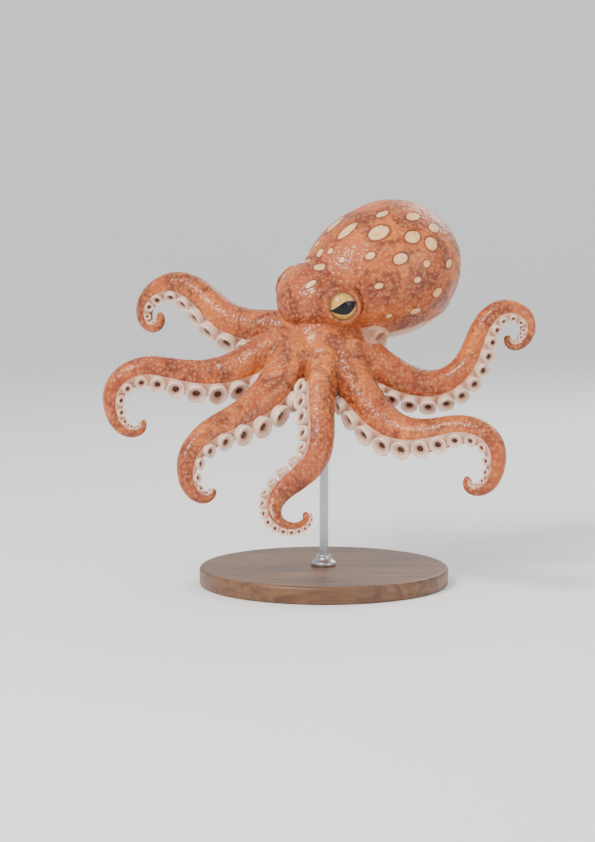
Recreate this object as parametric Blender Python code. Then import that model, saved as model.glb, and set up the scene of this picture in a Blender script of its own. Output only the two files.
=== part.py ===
"""A curled octopus swimming with its arms spread, life size, on a round base with one rod.

Metres, +Z up. The viewer stands on the -Y side, so +X is to the viewer's right.
The origin is the centre of the base's underside, with the rod's axis along +Z.
Arms are named as zoologists name them: l for the animal's left, r for its right,
and 1 to 4 from the back of the head round to the funnel's side.
"""

import math

import bmesh
import bpy
from mathutils import Vector

GAP = 0.0003  # clearance between neighbouring pieces
UP = Vector((0, 0, 1))

# The stand
BASE_RADIUS = 0.100
BASE_THICKNESS = 0.014
BASE_BEVEL = 0.0025
BASE_SIDES = 36
ROD_RADIUS = 0.0035
ROD_INSET = 0.012  # how deep the rod goes into the crown of arms
ROD_SIDES = 12
COLLAR_RADIUS = 0.010
COLLAR_HEIGHT = 0.009
COLLAR_SIDES = 16

# The crown, where the arms meet round the mouth
CROWN_CENTRE = Vector((0.0, 0.0, 0.194))
CROWN_TILT = math.radians(20)  # the viewer's side is the lower one
CROWN_RADIUS = 0.034
CROWN_HALF_HEIGHT = 0.027
RING_RADIUS = 0.022  # circle on which the arms' centrelines start
ROOT_DEPTH = 0.006  # how far the arms' roots reach back inside the crown from that circle
SEAM = 0.037  # distance along an arm where the crown ends and the arm's own piece begins

# The web, the sheet of skin between neighbouring arms
WEB_START = 0.005  # distance along the arms where it starts, inside the crown
WEB_REACH = 0.060  # distance along an arm that it runs
WEB_SAG = 0.24  # share of that reach which its free edge draws back between arms
WEB_INSET = 0.10  # share of the span between two arms' middles that it leaves out at each side
WEB_THICKNESS = 0.0024
WEB_LIFT = 0.25  # how far it lies above the arms' middles, away from the suckers, in arm radii
WEB_SPANS = 4

# The body's own axes: where the rear of the mantle points, then a roll about that line
BODY_BEARING = math.radians(30)
BODY_PITCH = math.radians(18)
BODY_ROLL = math.radians(16)

HEAD_CENTRE = Vector((-0.0044, 0.003, 0.2305))
HEAD_WIDTH = 0.034  # half sizes
HEAD_LENGTH = 0.034
HEAD_HEIGHT = 0.031
EYE_SPREAD = 0.030  # head's centre to the middle of an eye's mound
MOUND_RADIUS = 0.0172
EYE_RADIUS = 0.0130
EYE_RISE = 0.0062  # eyeball's centre beyond the mound's, along the gaze
GAZE_FORWARD = 0.30  # how far the gaze leans towards the arms, against 1 outwards
GAZE_UP = 0.22

MANTLE_SET_BACK = 0.070  # head's centre to the mantle's widest section
MANTLE_WIDTH = 0.0550  # half sizes from there
MANTLE_HEIGHT = 0.0545
MANTLE_REAR = 0.059
MANTLE_FRONT = 0.078

FUNNEL_ROOT = Vector((0.024, 0.010, 0.218))
FUNNEL_TIP = Vector((0.045, -0.009, 0.1975))
FUNNEL_ROOT_RADIUS = 0.0130
FUNNEL_MIDDLE_RADIUS = 0.0115
FUNNEL_TIP_RADIUS = 0.0090
FUNNEL_BORE = 0.0050
FUNNEL_BORE_DEPTH = 0.010
FUNNEL_SIDES = 12

# Arms
ARM_RADIUS = 0.0173
TIP_SHARE = 0.14  # tip radius as a share of the root's
TAPER_POWER = 1.9
ORAL_FLATTENING = 0.22  # how much nearer the middle the sucker side lies
SECTION_ANGLES = (0, 28, 76, 128, 180, -128, -76, -28)  # round the arm, in degrees from the suckers
STATION_POWER = 1.4  # draws the stations of the headings together towards the curled tip
PATH_STEP = 0.0005
PIECES = (("base", 0.47), ("mid", 0.76), ("tip", 1.0))  # name, share of the arm where it ends

# Suckers, in shares of the arm's radius beside them
SUCKER_PITCH = 1.17
SUCKER_RIM = 0.49
SUCKER_HEIGHT = 0.50
SUCKER_CUP = 0.31
SUCKER_CUP_DEPTH = 0.24
SUCKER_CROWDING = 1.15  # how strongly a curl towards the suckers makes them smaller
FIRST_SUCKER = 0.026
FIRST_SIZE = 0.70  # size at the mouth, growing to full size at FULL_SIZE_FROM along the arm
FULL_SIZE_FROM = 0.070
CUPPED_SUCKERS = 5  # further out they are too small to be hollowed
LEAST_SUCKER = 0.0024  # rim radius of the smallest one in the solids

# azimuth: where the arm starts on the ring. headings: the way it runs at each station, in degrees
# up from the viewer's right, in a plane that is turned by yaw (root, tip) and leaned towards the
# viewer. suckers: +1 on the left of the way it runs, -1 on the right. roll: turn of the suckers
# towards the viewer, at the root and from halfway on. girth: thickness against ARM_RADIUS.
ARMS = {
    "l1": dict(azimuth=270, length=0.199, yaw=(0, 0), lean=38, suckers=-1, roll=(22, 26), girth=0.82,
               headings=(256, 265, 272, 262, 227, 230, 277, 345, 412, 485)),
    "l2": dict(azimuth=310, length=0.220, yaw=(-35, -15), lean=10, suckers=-1, roll=(20, 48), girth=1.0,
               headings=(280, 305, 320, 355, 375, 345, 280, 240, 165, 60)),
    "l3": dict(azimuth=352, length=0.220, yaw=(-8, 10), lean=0, suckers=-1, roll=(20, 48), girth=0.97,
               headings=(315, 325, 350, 395, 430, 415, 345, 265, 185, 65)),
    "l4": dict(azimuth=52, length=0.220, yaw=(92, 5), lean=0, suckers=-1, roll=(0, 20), girth=0.92,
               headings=(-28, -20, 0, 60, 85, 75, 40, -20, -100, -210)),
    "r4": dict(azimuth=100, length=0.215, yaw=(108, 84), lean=0, suckers=-1, roll=(0, 15), girth=0.92,
               headings=(-25, -15, -5, 20, 50, 45, 0, -70, -150, -260)),
    "r3": dict(azimuth=140, length=0.199, yaw=(-25, -32), lean=0, suckers=1, roll=(20, 48), girth=0.97,
               headings=(165, 180, 165, 140, 155, 195, 230, 295, 400, 490)),
    "r2": dict(azimuth=182, length=0.208, yaw=(12, 2), lean=5, suckers=1, roll=(20, 48), girth=1.0,
               headings=(195, 210, 195, 175, 170, 210, 265, 305, 375, 475)),
    "r1": dict(azimuth=224, length=0.187, yaw=(40, 25), lean=12, suckers=1, roll=(20, 48), girth=1.0,
               headings=(215, 230, 220, 205, 200, 220, 260, 300, 360, 445)),
}


# ---------------------------------------------------------------- meshes and materials


def material(name, colour, roughness, metallic=0.0):
    made = bpy.data.materials.new(name)
    made.use_nodes = True
    shader = made.node_tree.nodes["Principled BSDF"]
    shader.inputs["Base Color"].default_value = (*colour, 1.0)
    shader.inputs["Roughness"].default_value = roughness
    shader.inputs["Metallic"].default_value = metallic
    return made


def add_mesh(name, points, faces, finish=None):
    """An object of these faces. Bent quads are split, which the Booleans need."""
    mesh = bpy.data.meshes.new(name)
    mesh.from_pydata([tuple(p) for p in points], [], faces)
    shape = bmesh.new()
    shape.from_mesh(mesh)
    bmesh.ops.triangulate(shape, faces=[face for face in shape.faces if len(face.verts) == 4])
    shape.to_mesh(mesh)
    shape.free()
    obj = bpy.data.objects.new(name, mesh)
    bpy.context.scene.collection.objects.link(obj)
    if finish:
        mesh.materials.append(finish)
        mesh.shade_smooth()
        mesh.set_sharp_from_angle(angle=math.radians(40))
    return obj


def as_helper(obj):
    """A shape that only cuts or joins others."""
    obj.hide_render = True
    obj.display_type = "WIRE"
    return obj


def combine(obj, operation, *others):
    for other in others:
        modifier = obj.modifiers.new(operation.lower() + "_" + other.name, "BOOLEAN")
        modifier.operation = operation
        modifier.solver = "EXACT"
        modifier.object = other


def star_mesh(name, centre, axes, radius_at, rings, sectors, finish=None):
    """A closed shape given by its radius in each direction from centre. Its poles lie on axes[0]."""
    points = []

    def add(*direction):
        outwards = sum((axis * part for axis, part in zip(axes, direction)), Vector())
        points.append(centre + outwards * radius_at(direction))

    add(1, 0, 0)
    for i in range(1, rings):
        polar = math.pi * i / rings
        for j in range(sectors):
            turn = 2 * math.pi * j / sectors
            add(math.cos(polar), math.sin(polar) * math.cos(turn), math.sin(polar) * math.sin(turn))
    add(-1, 0, 0)
    last = len(points) - 1
    faces = []
    for j in range(sectors):
        k = (j + 1) % sectors
        faces.append((0, 1 + j, 1 + k))
        for i in range(rings - 2):
            a = 1 + i * sectors
            faces.append((a + j, a + sectors + j, a + sectors + k, a + k))
        a = 1 + (rings - 2) * sectors
        faces.append((a + k, a + j, last))
    return add_mesh(name, points, faces, finish)


def ellipsoid_radius(direction, half_sizes):
    return 1 / math.sqrt(sum((part / half) ** 2 for part, half in zip(direction, half_sizes)))


def turned_mesh(name, foot, axis, profile, sides, finish=None):
    """A profile of (radius, height) turned about the line from foot along axis, closed at both ends."""
    axis = axis.normalized()
    side = axis.orthogonal().normalized()
    other = axis.cross(side)
    points = []
    for radius, height in profile:
        for j in range(sides):
            turn = 2 * math.pi * j / sides
            points.append(foot + axis * height + (side * math.cos(turn) + other * math.sin(turn)) * radius)
    faces = [tuple(reversed(range(sides)))]
    for i in range(len(profile) - 1):
        for j in range(sides):
            k = (j + 1) % sides
            faces.append((i * sides + j, i * sides + k, (i + 1) * sides + k, (i + 1) * sides + j))
    top = (len(profile) - 1) * sides
    faces.append(tuple(range(top, top + sides)))
    return add_mesh(name, points, faces, finish)


# ---------------------------------------------------------------- an arm's centreline and section


def smooth_value(shares, values, share):
    """The value at a share, on a smooth curve through the values at the given shares."""
    last = len(shares) - 1
    k = max(i for i in range(last) if shares[i] <= share)

    def slope(i):
        a, b = max(i - 1, 0), min(i + 1, last)
        return (values[b] - values[a]) / (shares[b] - shares[a])

    width = shares[k + 1] - shares[k]
    t = (share - shares[k]) / width
    return ((2 * t**3 - 3 * t**2 + 1) * values[k] + (t**3 - 2 * t**2 + t) * width * slope(k)
            + (3 * t**2 - 2 * t**3) * values[k + 1] + (t**3 - t**2) * width * slope(k + 1))


def ring_place(turn):
    """The place on the ring of arm roots at an angle round it."""
    across, away = math.cos(turn), math.sin(turn)
    direction = Vector((across, away * math.cos(CROWN_TILT), away * math.sin(CROWN_TILT)))
    return CROWN_CENTRE + RING_RADIUS * direction


class Arm:
    """An arm's centreline, with its directions and radius at any distance along it."""

    def __init__(self, azimuth, length, yaw, lean, suckers, roll, girth, headings):
        self.length = length
        self.girth = girth
        stations = len(headings) - 1
        shares = [1 - (1 - k / stations) ** STATION_POWER for k in range(stations + 1)]
        steps = round(length / PATH_STEP)
        upwards = Vector((0, math.sin(math.radians(lean)), math.cos(math.radians(lean))))
        self.places = [ring_place(math.radians(azimuth))]
        self.frames = []
        for i in range(steps + 1):
            share = i / steps
            heading = math.radians(smooth_value(shares, headings, share))
            bearing = math.radians(yaw[0] + (yaw[1] - yaw[0]) * share)
            rolled = math.radians(roll[0] + (roll[1] - roll[0]) * min(1, 2 * share))
            right = Vector((math.cos(bearing), math.sin(bearing), 0))
            along = (right * math.cos(heading) + upwards * math.sin(heading)).normalized()
            facing = right.cross(upwards).normalized()
            beside = facing.cross(along) * suckers
            oral = (beside * math.cos(rolled) + facing * math.sin(rolled)).normalized()
            self.frames.append((along, oral, along.cross(oral)))
            self.places.append(self.places[-1] + along * length / steps)

    def at(self, distance):
        """Place, direction, the suckers' side and the side across, at a distance along the arm."""
        inside = min(max(distance, 0), self.length)
        where = inside / self.length * (len(self.frames) - 1)
        i = min(int(where), len(self.frames) - 2)
        part = where - i
        pairs = zip(self.frames[i], self.frames[i + 1])
        along, oral, across = (before.lerp(after, part).normalized() for before, after in pairs)
        place = self.places[i].lerp(self.places[i + 1], part) + along * (distance - inside)
        return place, along, oral, across

    def radius(self, distance):
        share = min(max(distance / self.length, 0), 1)
        return ARM_RADIUS * self.girth * (1 - (1 - TIP_SHARE) * share**TAPER_POWER)

    def bend_in(self, distance, reach=0.004):
        """Curvature towards the suckers."""
        before, after = self.at(distance - reach), self.at(distance + reach)
        return max(0, (after[1] - before[1]).dot(self.at(distance)[2]) / (2 * reach))

    def section_point(self, distance, angle, grow=0.0):
        """A point of the skin, at an angle from the suckers' side."""
        place, _, oral, across = self.at(distance)
        turn = math.radians(angle)
        flattened = 1 - ORAL_FLATTENING * ((1 + math.cos(turn)) / 2) ** 3
        reach = self.radius(distance) * flattened + grow
        return place + (oral * math.cos(turn) + across * math.sin(turn)) * reach

    def suckers(self):
        """The distance along the arm and the size, as a share of the full one, of each sucker."""
        found, distance = [], FIRST_SUCKER
        while distance < self.length:
            radius = self.radius(distance)
            size = min(1 - SUCKER_CROWDING * radius * self.bend_in(distance),
                       FIRST_SIZE + (1 - FIRST_SIZE) * distance / FULL_SIZE_FROM, 1)
            if SUCKER_RIM * radius * size < LEAST_SUCKER:
                break
            found.append((distance, size))
            distance += SUCKER_PITCH * radius
        return found


# ---------------------------------------------------------------- an arm's solids


class ArmSkin:
    """The closed skin of a length of an arm, laid ring by ring, with its suckers built in."""

    COLUMNS = len(SECTION_ANGLES)
    UNDER_SUCKER = (0, COLUMNS - 1)

    def __init__(self, arm, start, grow=0.0):
        self.arm, self.grow = arm, grow
        self.points, self.faces = [], []
        self.last = self.ring(start)
        self.reached = start
        self.faces.append(tuple(reversed(range(self.COLUMNS))))

    def ring(self, distance):
        self.points.extend(self.arm.section_point(distance, angle, self.grow) for angle in SECTION_ANGLES)
        return len(self.points) - self.COLUMNS

    def go_on_to(self, distance, left_open=()):
        """Lay the skin up to a distance, leaving these columns open for a sucker's foot."""
        ring = self.ring(distance)
        for j in range(self.COLUMNS):
            if j not in left_open:
                k = (j + 1) % self.COLUMNS
                self.faces.append((self.last + j, self.last + k, ring + k, ring + j))
        self.last, self.reached = ring, distance
        return ring

    def add_sucker(self, distance, size, end, cupped):
        """Lay the skin past a sucker and bridge the eight points round its foot to its rim."""
        radius = self.arm.radius(distance)
        half = SUCKER_PITCH * radius / 2
        if distance - half - self.reached > half / 2:
            self.go_on_to(distance - half)
        before = self.last
        middle = self.go_on_to(distance, self.UNDER_SUCKER)
        after = self.go_on_to(min(distance + half, end), self.UNDER_SUCKER)
        side = self.COLUMNS - 1
        below = [before, before + 1, middle + 1, after + 1, after, after + side, middle + side, before + side]

        place, along, oral, across = self.arm.at(distance)
        top = place + oral * (radius * (1 - ORAL_FLATTENING + SUCKER_HEIGHT * size) + self.grow)
        rim_radii = [SUCKER_RIM * radius * size + self.grow]
        if cupped:
            rim_radii.append(SUCKER_CUP * radius * size)
        for rim_radius in rim_radii:
            first = len(self.points)
            for step in range(8):
                turn = 2 * math.pi * step / 8
                self.points.append(top + (across * math.sin(turn) - along * math.cos(turn)) * rim_radius)
            above = list(range(first, first + 8))
            self.faces.extend((below[j], below[j - 7], above[j - 7], above[j]) for j in range(8))
            below = above
        if cupped:
            self.close_cone(below, top - oral * (SUCKER_CUP_DEPTH * radius * size))
        else:
            self.faces.append(tuple(below))

    def close_cone(self, loop, apex):
        self.points.append(apex)
        self.faces.extend((a, b, len(self.points) - 1) for a, b in zip(loop, loop[1:] + loop[:1]))

    def finish_at(self, end, rounded):
        """Lay the rest of the skin and close its end."""
        while end - self.reached > 1.4 * self.arm.radius(self.reached):
            self.go_on_to(self.reached + 1.2 * self.arm.radius(self.reached))
        if end > self.reached:
            self.go_on_to(end)
        loop = [self.last + j for j in range(self.COLUMNS)]
        if rounded:
            place, along, _, _ = self.arm.at(end)
            self.close_cone(loop, place + along * self.arm.radius(end) * 0.9)
        else:
            self.faces.append(tuple(loop))


def arm_length(name, arm, start, end, suckers=(), cupped=0, grow=0.0, rounded=False, finish=None):
    """A solid length of an arm with these suckers, the first few of them cupped."""
    skin = ArmSkin(arm, start, grow)
    for number, (distance, size) in enumerate(suckers):
        skin.add_sucker(distance, size, end, number < cupped)
    skin.finish_at(end, rounded)
    return add_mesh(name, skin.points, skin.faces, finish)


def piece_cuts(arm, suckers):
    """Where the arm is parted: in the gap between two suckers, nearest to each wanted place."""
    gaps = [(a[0] + b[0]) / 2 for a, b in zip(suckers, suckers[1:])]
    wanted = [SEAM] + [share * arm.length for _, share in PIECES[:-1]]
    return [min(gaps, key=lambda gap: abs(gap - place)) for place in wanted] + [arm.length]


def build_arm(name, arm, finish):
    """The arm's own pieces. Returns the distance along it where the crown ends."""
    suckers = arm.suckers()
    cuts = piece_cuts(arm, suckers)
    cupped = CUPPED_SUCKERS
    for (label, _), start, end in zip(PIECES, cuts, cuts[1:]):
        own = [sucker for sucker in suckers if start < sucker[0] < end]
        is_tip = end == arm.length
        arm_length(f"arm_{name}_{label}", arm, start + GAP / 2, end if is_tip else end - GAP / 2,
                   own, cupped, rounded=is_tip, finish=finish)
        cupped -= len(own)
    return cuts[0]


# ---------------------------------------------------------------- the crown and the web


def crown_body(name, arms, seams, grow=0.0, finish=None):
    """The solid where the arms' roots merge round the mouth."""
    down = Vector((0, math.sin(CROWN_TILT), -math.cos(CROWN_TILT)))
    side = Vector((1, 0, 0))
    half_sizes = (CROWN_HALF_HEIGHT + grow, CROWN_RADIUS + grow, CROWN_RADIUS + grow)
    crown = star_mesh(name, CROWN_CENTRE, (down, side, down.cross(side)),
                      lambda direction: ellipsoid_radius(direction, half_sizes), 7, 14, finish)
    for key, arm in arms.items():
        end = seams[key] - GAP / 2 + grow
        root = arm_length(f"{name}_root_{key}", arm, -ROOT_DEPTH - grow, end, grow=grow)
        combine(crown, "UNION", as_helper(root))
    return crown


def web_sheet(arm, neighbour):
    """Rows of points from one arm across to the next, the last row along the free edge."""
    rows = []
    for i in range(WEB_SPANS + 1):
        row = []
        for j in range(WEB_SPANS + 1):
            across = WEB_INSET + (1 - 2 * WEB_INSET) * j / WEB_SPANS
            edge = WEB_REACH * (1 - WEB_SAG * math.sin(math.pi * across))
            distance = WEB_START + (edge - WEB_START) * i / WEB_SPANS
            (place, _, oral, _), (other_place, _, other_oral, _) = arm.at(distance), neighbour.at(distance)
            lift = WEB_LIFT * (arm.radius(distance) + neighbour.radius(distance)) / 2
            row.append(place.lerp(other_place, across) - oral.lerp(other_oral, across).normalized() * lift)
        rows.append(row)
    return rows


def web_body(name, arm, neighbour, finish):
    """The web between two arms, as thick as WEB_THICKNESS."""
    rows = web_sheet(arm, neighbour)
    last = width = WEB_SPANS
    width += 1
    top, bottom = [], []
    for i in range(width):
        for j in range(width):
            outwards = rows[min(i + 1, last)][j] - rows[max(i - 1, 0)][j]
            sideways = rows[i][min(j + 1, last)] - rows[i][max(j - 1, 0)]
            half = sideways.cross(outwards).normalized() * (WEB_THICKNESS / 2)
            top.append(rows[i][j] + half)
            bottom.append(rows[i][j] - half)
    under = len(top)
    faces = []
    for i in range(last):
        for j in range(last):
            a = i * width + j
            faces.append((a, a + 1, a + width + 1, a + width))
            faces.append((under + a, under + a + width, under + a + width + 1, under + a + 1))
    rim = [j for j in range(width)] + [i * width + last for i in range(1, width)]
    rim += [last * width + j for j in reversed(range(last))] + [i * width for i in reversed(range(1, last))]
    faces.extend((b, a, under + a, under + b) for a, b in zip(rim, rim[1:] + rim[:1]))
    return add_mesh(name, top + bottom, faces, finish)


def arm_space(key, arm, seam):
    """The room that an arm's own pieces take beside the web."""
    end = seam + WEB_REACH
    beside = [sucker for sucker in arm.suckers() if seam < sucker[0] < end]
    return as_helper(arm_length(f"space_{key}", arm, seam, end, beside, grow=GAP))


def build_webs(arms, seams, crown_space, finish):
    spaces = {key: arm_space(key, arm, seams[key]) for key, arm in arms.items()}
    names = list(arms)
    for key, neighbour in zip(names, names[1:] + names[:1]):
        web = web_body(f"web_{key}_{neighbour}", arms[key], arms[neighbour], finish)
        combine(web, "DIFFERENCE", crown_space, spaces[key], spaces[neighbour])


# ---------------------------------------------------------------- head, mantle, eyes and funnel


def body_axes():
    """Directions to the rear of the mantle, to the animal's left and out of its back."""
    rear = Vector((math.cos(BODY_PITCH) * math.cos(BODY_BEARING),
                   math.cos(BODY_PITCH) * math.sin(BODY_BEARING),
                   math.sin(BODY_PITCH)))
    level = Vector((math.sin(BODY_BEARING), -math.cos(BODY_BEARING), 0))
    left = level * math.cos(BODY_ROLL) - level.cross(rear) * math.sin(BODY_ROLL)
    return rear, left, left.cross(rear)


REAR, LEFT, BACK = body_axes()


def head_body(name, grow=0.0, finish=None):
    """A round head with a mound on each side for the eye."""

    def radius(direction):
        reach = ellipsoid_radius(direction, (HEAD_WIDTH, HEAD_LENGTH, HEAD_HEIGHT))
        to_mound = EYE_SPREAD * abs(direction[0])
        inside = to_mound**2 - EYE_SPREAD**2 + MOUND_RADIUS**2
        if inside > 0:
            reach = max(reach, to_mound + math.sqrt(inside))
        return reach + grow

    return star_mesh(name, HEAD_CENTRE, (LEFT, REAR, BACK), radius, 14, 18, finish)


def mantle_body(name, grow=0.0, finish=None):
    """An egg, narrower at the neck."""

    def radius(direction):
        length = MANTLE_REAR if direction[0] > 0 else MANTLE_FRONT
        return ellipsoid_radius(direction, (length, MANTLE_HEIGHT, MANTLE_WIDTH)) + grow

    return star_mesh(name, HEAD_CENTRE + REAR * MANTLE_SET_BACK, (REAR, BACK, LEFT), radius, 12, 20, finish)


def eye_body(name, side, grow=0.0, finish=None):
    """The eyeball; side is +1 for the left eye and -1 for the right one."""
    gaze = (LEFT * side - REAR * GAZE_FORWARD + BACK * GAZE_UP).normalized()
    across = gaze.orthogonal().normalized()
    centre = HEAD_CENTRE + LEFT * (EYE_SPREAD * side) + gaze * EYE_RISE
    axes = (gaze, across, gaze.cross(across))
    return star_mesh(name, centre, axes, lambda _: EYE_RADIUS + grow, 6, 12, finish)


def funnel_body(name, finish):
    """The tube that the animal blows water out of, bent to its left."""
    axis = FUNNEL_TIP - FUNNEL_ROOT
    length = axis.length
    profile = [(FUNNEL_ROOT_RADIUS, 0), (FUNNEL_MIDDLE_RADIUS, length * 0.5),
               (FUNNEL_TIP_RADIUS, length * 0.92), (FUNNEL_TIP_RADIUS * 0.86, length),
               (FUNNEL_BORE, length * 0.985), (FUNNEL_BORE * 0.8, length - FUNNEL_BORE_DEPTH)]
    return turned_mesh(name, FUNNEL_ROOT, axis, profile, FUNNEL_SIDES, finish)


# ---------------------------------------------------------------- the stand


def rod_top():
    return CROWN_CENTRE.z - CROWN_HALF_HEIGHT + ROD_INSET


def rod_pocket():
    """The hole in the crown that the rod stands in."""
    radius = ROD_RADIUS + GAP
    return as_helper(turned_mesh("rod_pocket", UP * BASE_THICKNESS, UP,
                                 [(radius, 0), (radius, rod_top() + GAP - BASE_THICKNESS)], ROD_SIDES))


def build_stand(wood, steel):
    turned_mesh("stand_base", Vector(), UP,
                [(BASE_RADIUS, 0), (BASE_RADIUS, BASE_THICKNESS - BASE_BEVEL),
                 (BASE_RADIUS - BASE_BEVEL, BASE_THICKNESS)], BASE_SIDES, wood)
    collar_foot = BASE_THICKNESS + GAP
    neck = COLLAR_RADIUS * 0.6
    turned_mesh("stand_collar", UP * collar_foot, UP,
                [(COLLAR_RADIUS, 0), (COLLAR_RADIUS, COLLAR_HEIGHT * 0.35), (neck, COLLAR_HEIGHT * 0.75),
                 (neck, COLLAR_HEIGHT)], COLLAR_SIDES, steel)
    rod_foot = collar_foot + COLLAR_HEIGHT + GAP
    turned_mesh("stand_rod", UP * rod_foot, UP,
                [(ROD_RADIUS, 0), (ROD_RADIUS, rod_top() - rod_foot)], ROD_SIDES, steel)


# ---------------------------------------------------------------- the octopus


def main():
    for obj in list(bpy.data.objects):
        bpy.data.objects.remove(obj)
    skin = material("skin", (0.55, 0.22, 0.12), 0.45)
    eye = material("eye", (0.70, 0.50, 0.22), 0.15)
    wood = material("stand_wood", (0.10, 0.055, 0.03), 0.35)
    steel = material("stand_steel", (0.60, 0.60, 0.62), 0.30, 1.0)

    arms = {key: Arm(**facts) for key, facts in ARMS.items()}
    seams = {key: build_arm(key, arm, skin) for key, arm in arms.items()}
    crown = crown_body("crown", arms, seams, finish=skin)
    combine(crown, "DIFFERENCE", rod_pocket())

    # Each of these leaves GAP round the piece that it stands for
    crown_space = as_helper(crown_body("crown_space", arms, seams, GAP))
    head_space = as_helper(head_body("head_space", GAP))
    mantle_space = as_helper(mantle_body("mantle_space", GAP))
    build_webs(arms, seams, crown_space, skin)

    head = head_body("head", finish=skin)
    combine(head, "DIFFERENCE", crown_space)
    for label, side in (("left", 1), ("right", -1)):
        eye_body(f"eye_{label}", side, finish=eye)
        socket = as_helper(eye_body(f"socket_{label}", side, GAP))
        combine(head, "DIFFERENCE", socket)
        combine(crown, "DIFFERENCE", socket)
    combine(mantle_body("mantle", finish=skin), "DIFFERENCE", head_space, crown_space)
    combine(funnel_body("funnel", skin), "DIFFERENCE", head_space, crown_space, mantle_space)
    build_stand(wood, steel)


main()
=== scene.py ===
"""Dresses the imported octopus: one skin over all its flesh, with suckers, eyes, a mouth and the stand.

Metres, +Z up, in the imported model's frame: the viewer stands on the -Y side. Everything is made from
functions and named sizes. The body's sizes are the CAD source's or close to them.
"""

import math
import random

import bpy
import numpy as np
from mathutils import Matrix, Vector, bvhtree, kdtree, noise

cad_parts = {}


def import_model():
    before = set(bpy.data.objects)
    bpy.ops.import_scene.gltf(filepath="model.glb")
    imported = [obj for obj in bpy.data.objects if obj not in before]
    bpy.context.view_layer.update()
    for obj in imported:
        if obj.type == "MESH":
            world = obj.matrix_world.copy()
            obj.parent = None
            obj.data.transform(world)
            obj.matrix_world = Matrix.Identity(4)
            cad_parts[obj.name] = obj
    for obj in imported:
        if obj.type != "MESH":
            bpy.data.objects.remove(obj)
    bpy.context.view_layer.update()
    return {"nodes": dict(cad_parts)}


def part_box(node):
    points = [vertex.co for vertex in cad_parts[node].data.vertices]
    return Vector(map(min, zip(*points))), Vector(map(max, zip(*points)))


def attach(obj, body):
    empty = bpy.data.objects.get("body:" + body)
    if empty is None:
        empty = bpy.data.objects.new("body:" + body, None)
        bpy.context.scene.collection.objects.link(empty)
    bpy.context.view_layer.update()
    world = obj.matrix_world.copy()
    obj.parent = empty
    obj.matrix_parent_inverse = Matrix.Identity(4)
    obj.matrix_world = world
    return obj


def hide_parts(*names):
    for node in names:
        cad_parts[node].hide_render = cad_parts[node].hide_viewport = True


MM = 0.001
SIDES = (1, -1)  # the animal's left, which is nearer to the viewer, and its right

# ---- sizes of the stand and the body

BASE_RADIUS = 0.100
BASE_THICKNESS = 0.014
BASE_BEVEL = 0.0025
ROD_RADIUS = 0.0035
ROD_EXTRA = 0.006  # further down than its solid
COLLAR_RADIUS = 0.010
COLLAR_HEIGHT = 0.009

CROWN_CENTRE = np.array([0.0, 0.0, 0.194])
CROWN_TILT = math.radians(20)
CROWN_RADIUS = 0.034
CROWN_HALF_HEIGHT = 0.027
RING_RADIUS = 0.022  # the arms' centrelines start on this circle
ROOT_DEPTH = 0.006  # how far back from it they reach

WEB_START = 0.005  # distances along the arms
WEB_REACH = 0.060
WEB_SAG = 0.24
WEB_LIFT = 0.25
WEB_THICKNESS = (0.0060, 0.0016)  # at the crown, at the free edge
WEB_SPANS = 22

BODY_BEARING = math.radians(30)
BODY_PITCH = math.radians(18)
BODY_ROLL = math.radians(16)

HEAD_CENTRE = np.array([-0.0044, 0.003, 0.2305])
HEAD_WIDTH = 0.034  # half sizes
HEAD_LENGTH = 0.034
HEAD_HEIGHT = 0.0285
EYE_SPREAD = 0.030
MOUND_RADIUS = 0.0172
EYE_RADIUS = 0.0130
EYE_RISE = 0.0062
GAZE_FORWARD = {1: 0.36, -1: 0.22}  # of each side's eye, against 1 outwards
GAZE_UP = {1: 0.38, -1: 0.30}
EYE_LIFT = {1: 0.0027, -1: -0.0030}

MANTLE_SET_BACK = 0.070
MANTLE_WIDTH = 0.0550
MANTLE_HEIGHT = 0.0545
MANTLE_REAR = 0.059
MANTLE_FRONT = 0.078

FUNNEL_ROOT = np.array([0.024, 0.010, 0.218])
FUNNEL_TIP = np.array([0.045, -0.009, 0.1975])
FUNNEL_ROOT_RADIUS = 0.0130
FUNNEL_MIDDLE_RADIUS = 0.0115
FUNNEL_TIP_RADIUS = 0.0090
FUNNEL_BORE = 0.0050
BORE_DEPTH = 0.013

ARM_RADIUS = 0.0173
TIP_SHARE = 0.205
TAPER_POWER = 2.0
TIP_POINT = 0.0032  # length over which an arm's end narrows to its point
TIP_BEYOND = 0.002
ORAL_FLATTENING = 0.22
ROLLED_BY = 0.5  # share of the arm over which its suckers roll round it
STATION_POWER = 1.4
PATH_STEP = 0.0005
ARM_STEP = 0.0012  # between the rings of an arm's skin
ARM_SECTOR = 9  # degrees between the points of a ring
MARGIN_ANGLE = 35  # the fold of skin along each side of the suckers, in degrees from them
MARGIN_WIDTH = 8
MARGIN_RISE = 0.06

SUCKER_SPACING = 2.14  # of the rims, where they are open
SUCKER_RIM = 0.51
SUCKER_HEIGHT = 0.50
SUCKER_SPLAY = math.radians(20)  # they turn outwards by this
SUCKER_CROWDING = 0.55
SPREAD_LIMITS = (0.40, 1.6)  # for the bends that crowd and spread them
BEND_REACH = 0.004  # the bend is measured this far to each side
FIRST_SUCKER = 0.026
FIRST_SIZE = 0.70
FULL_SIZE_FROM = 0.070
LEAST_SUCKER = 0.0007
LAST_SUCKER = 0.0006  # from the arm's end

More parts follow.
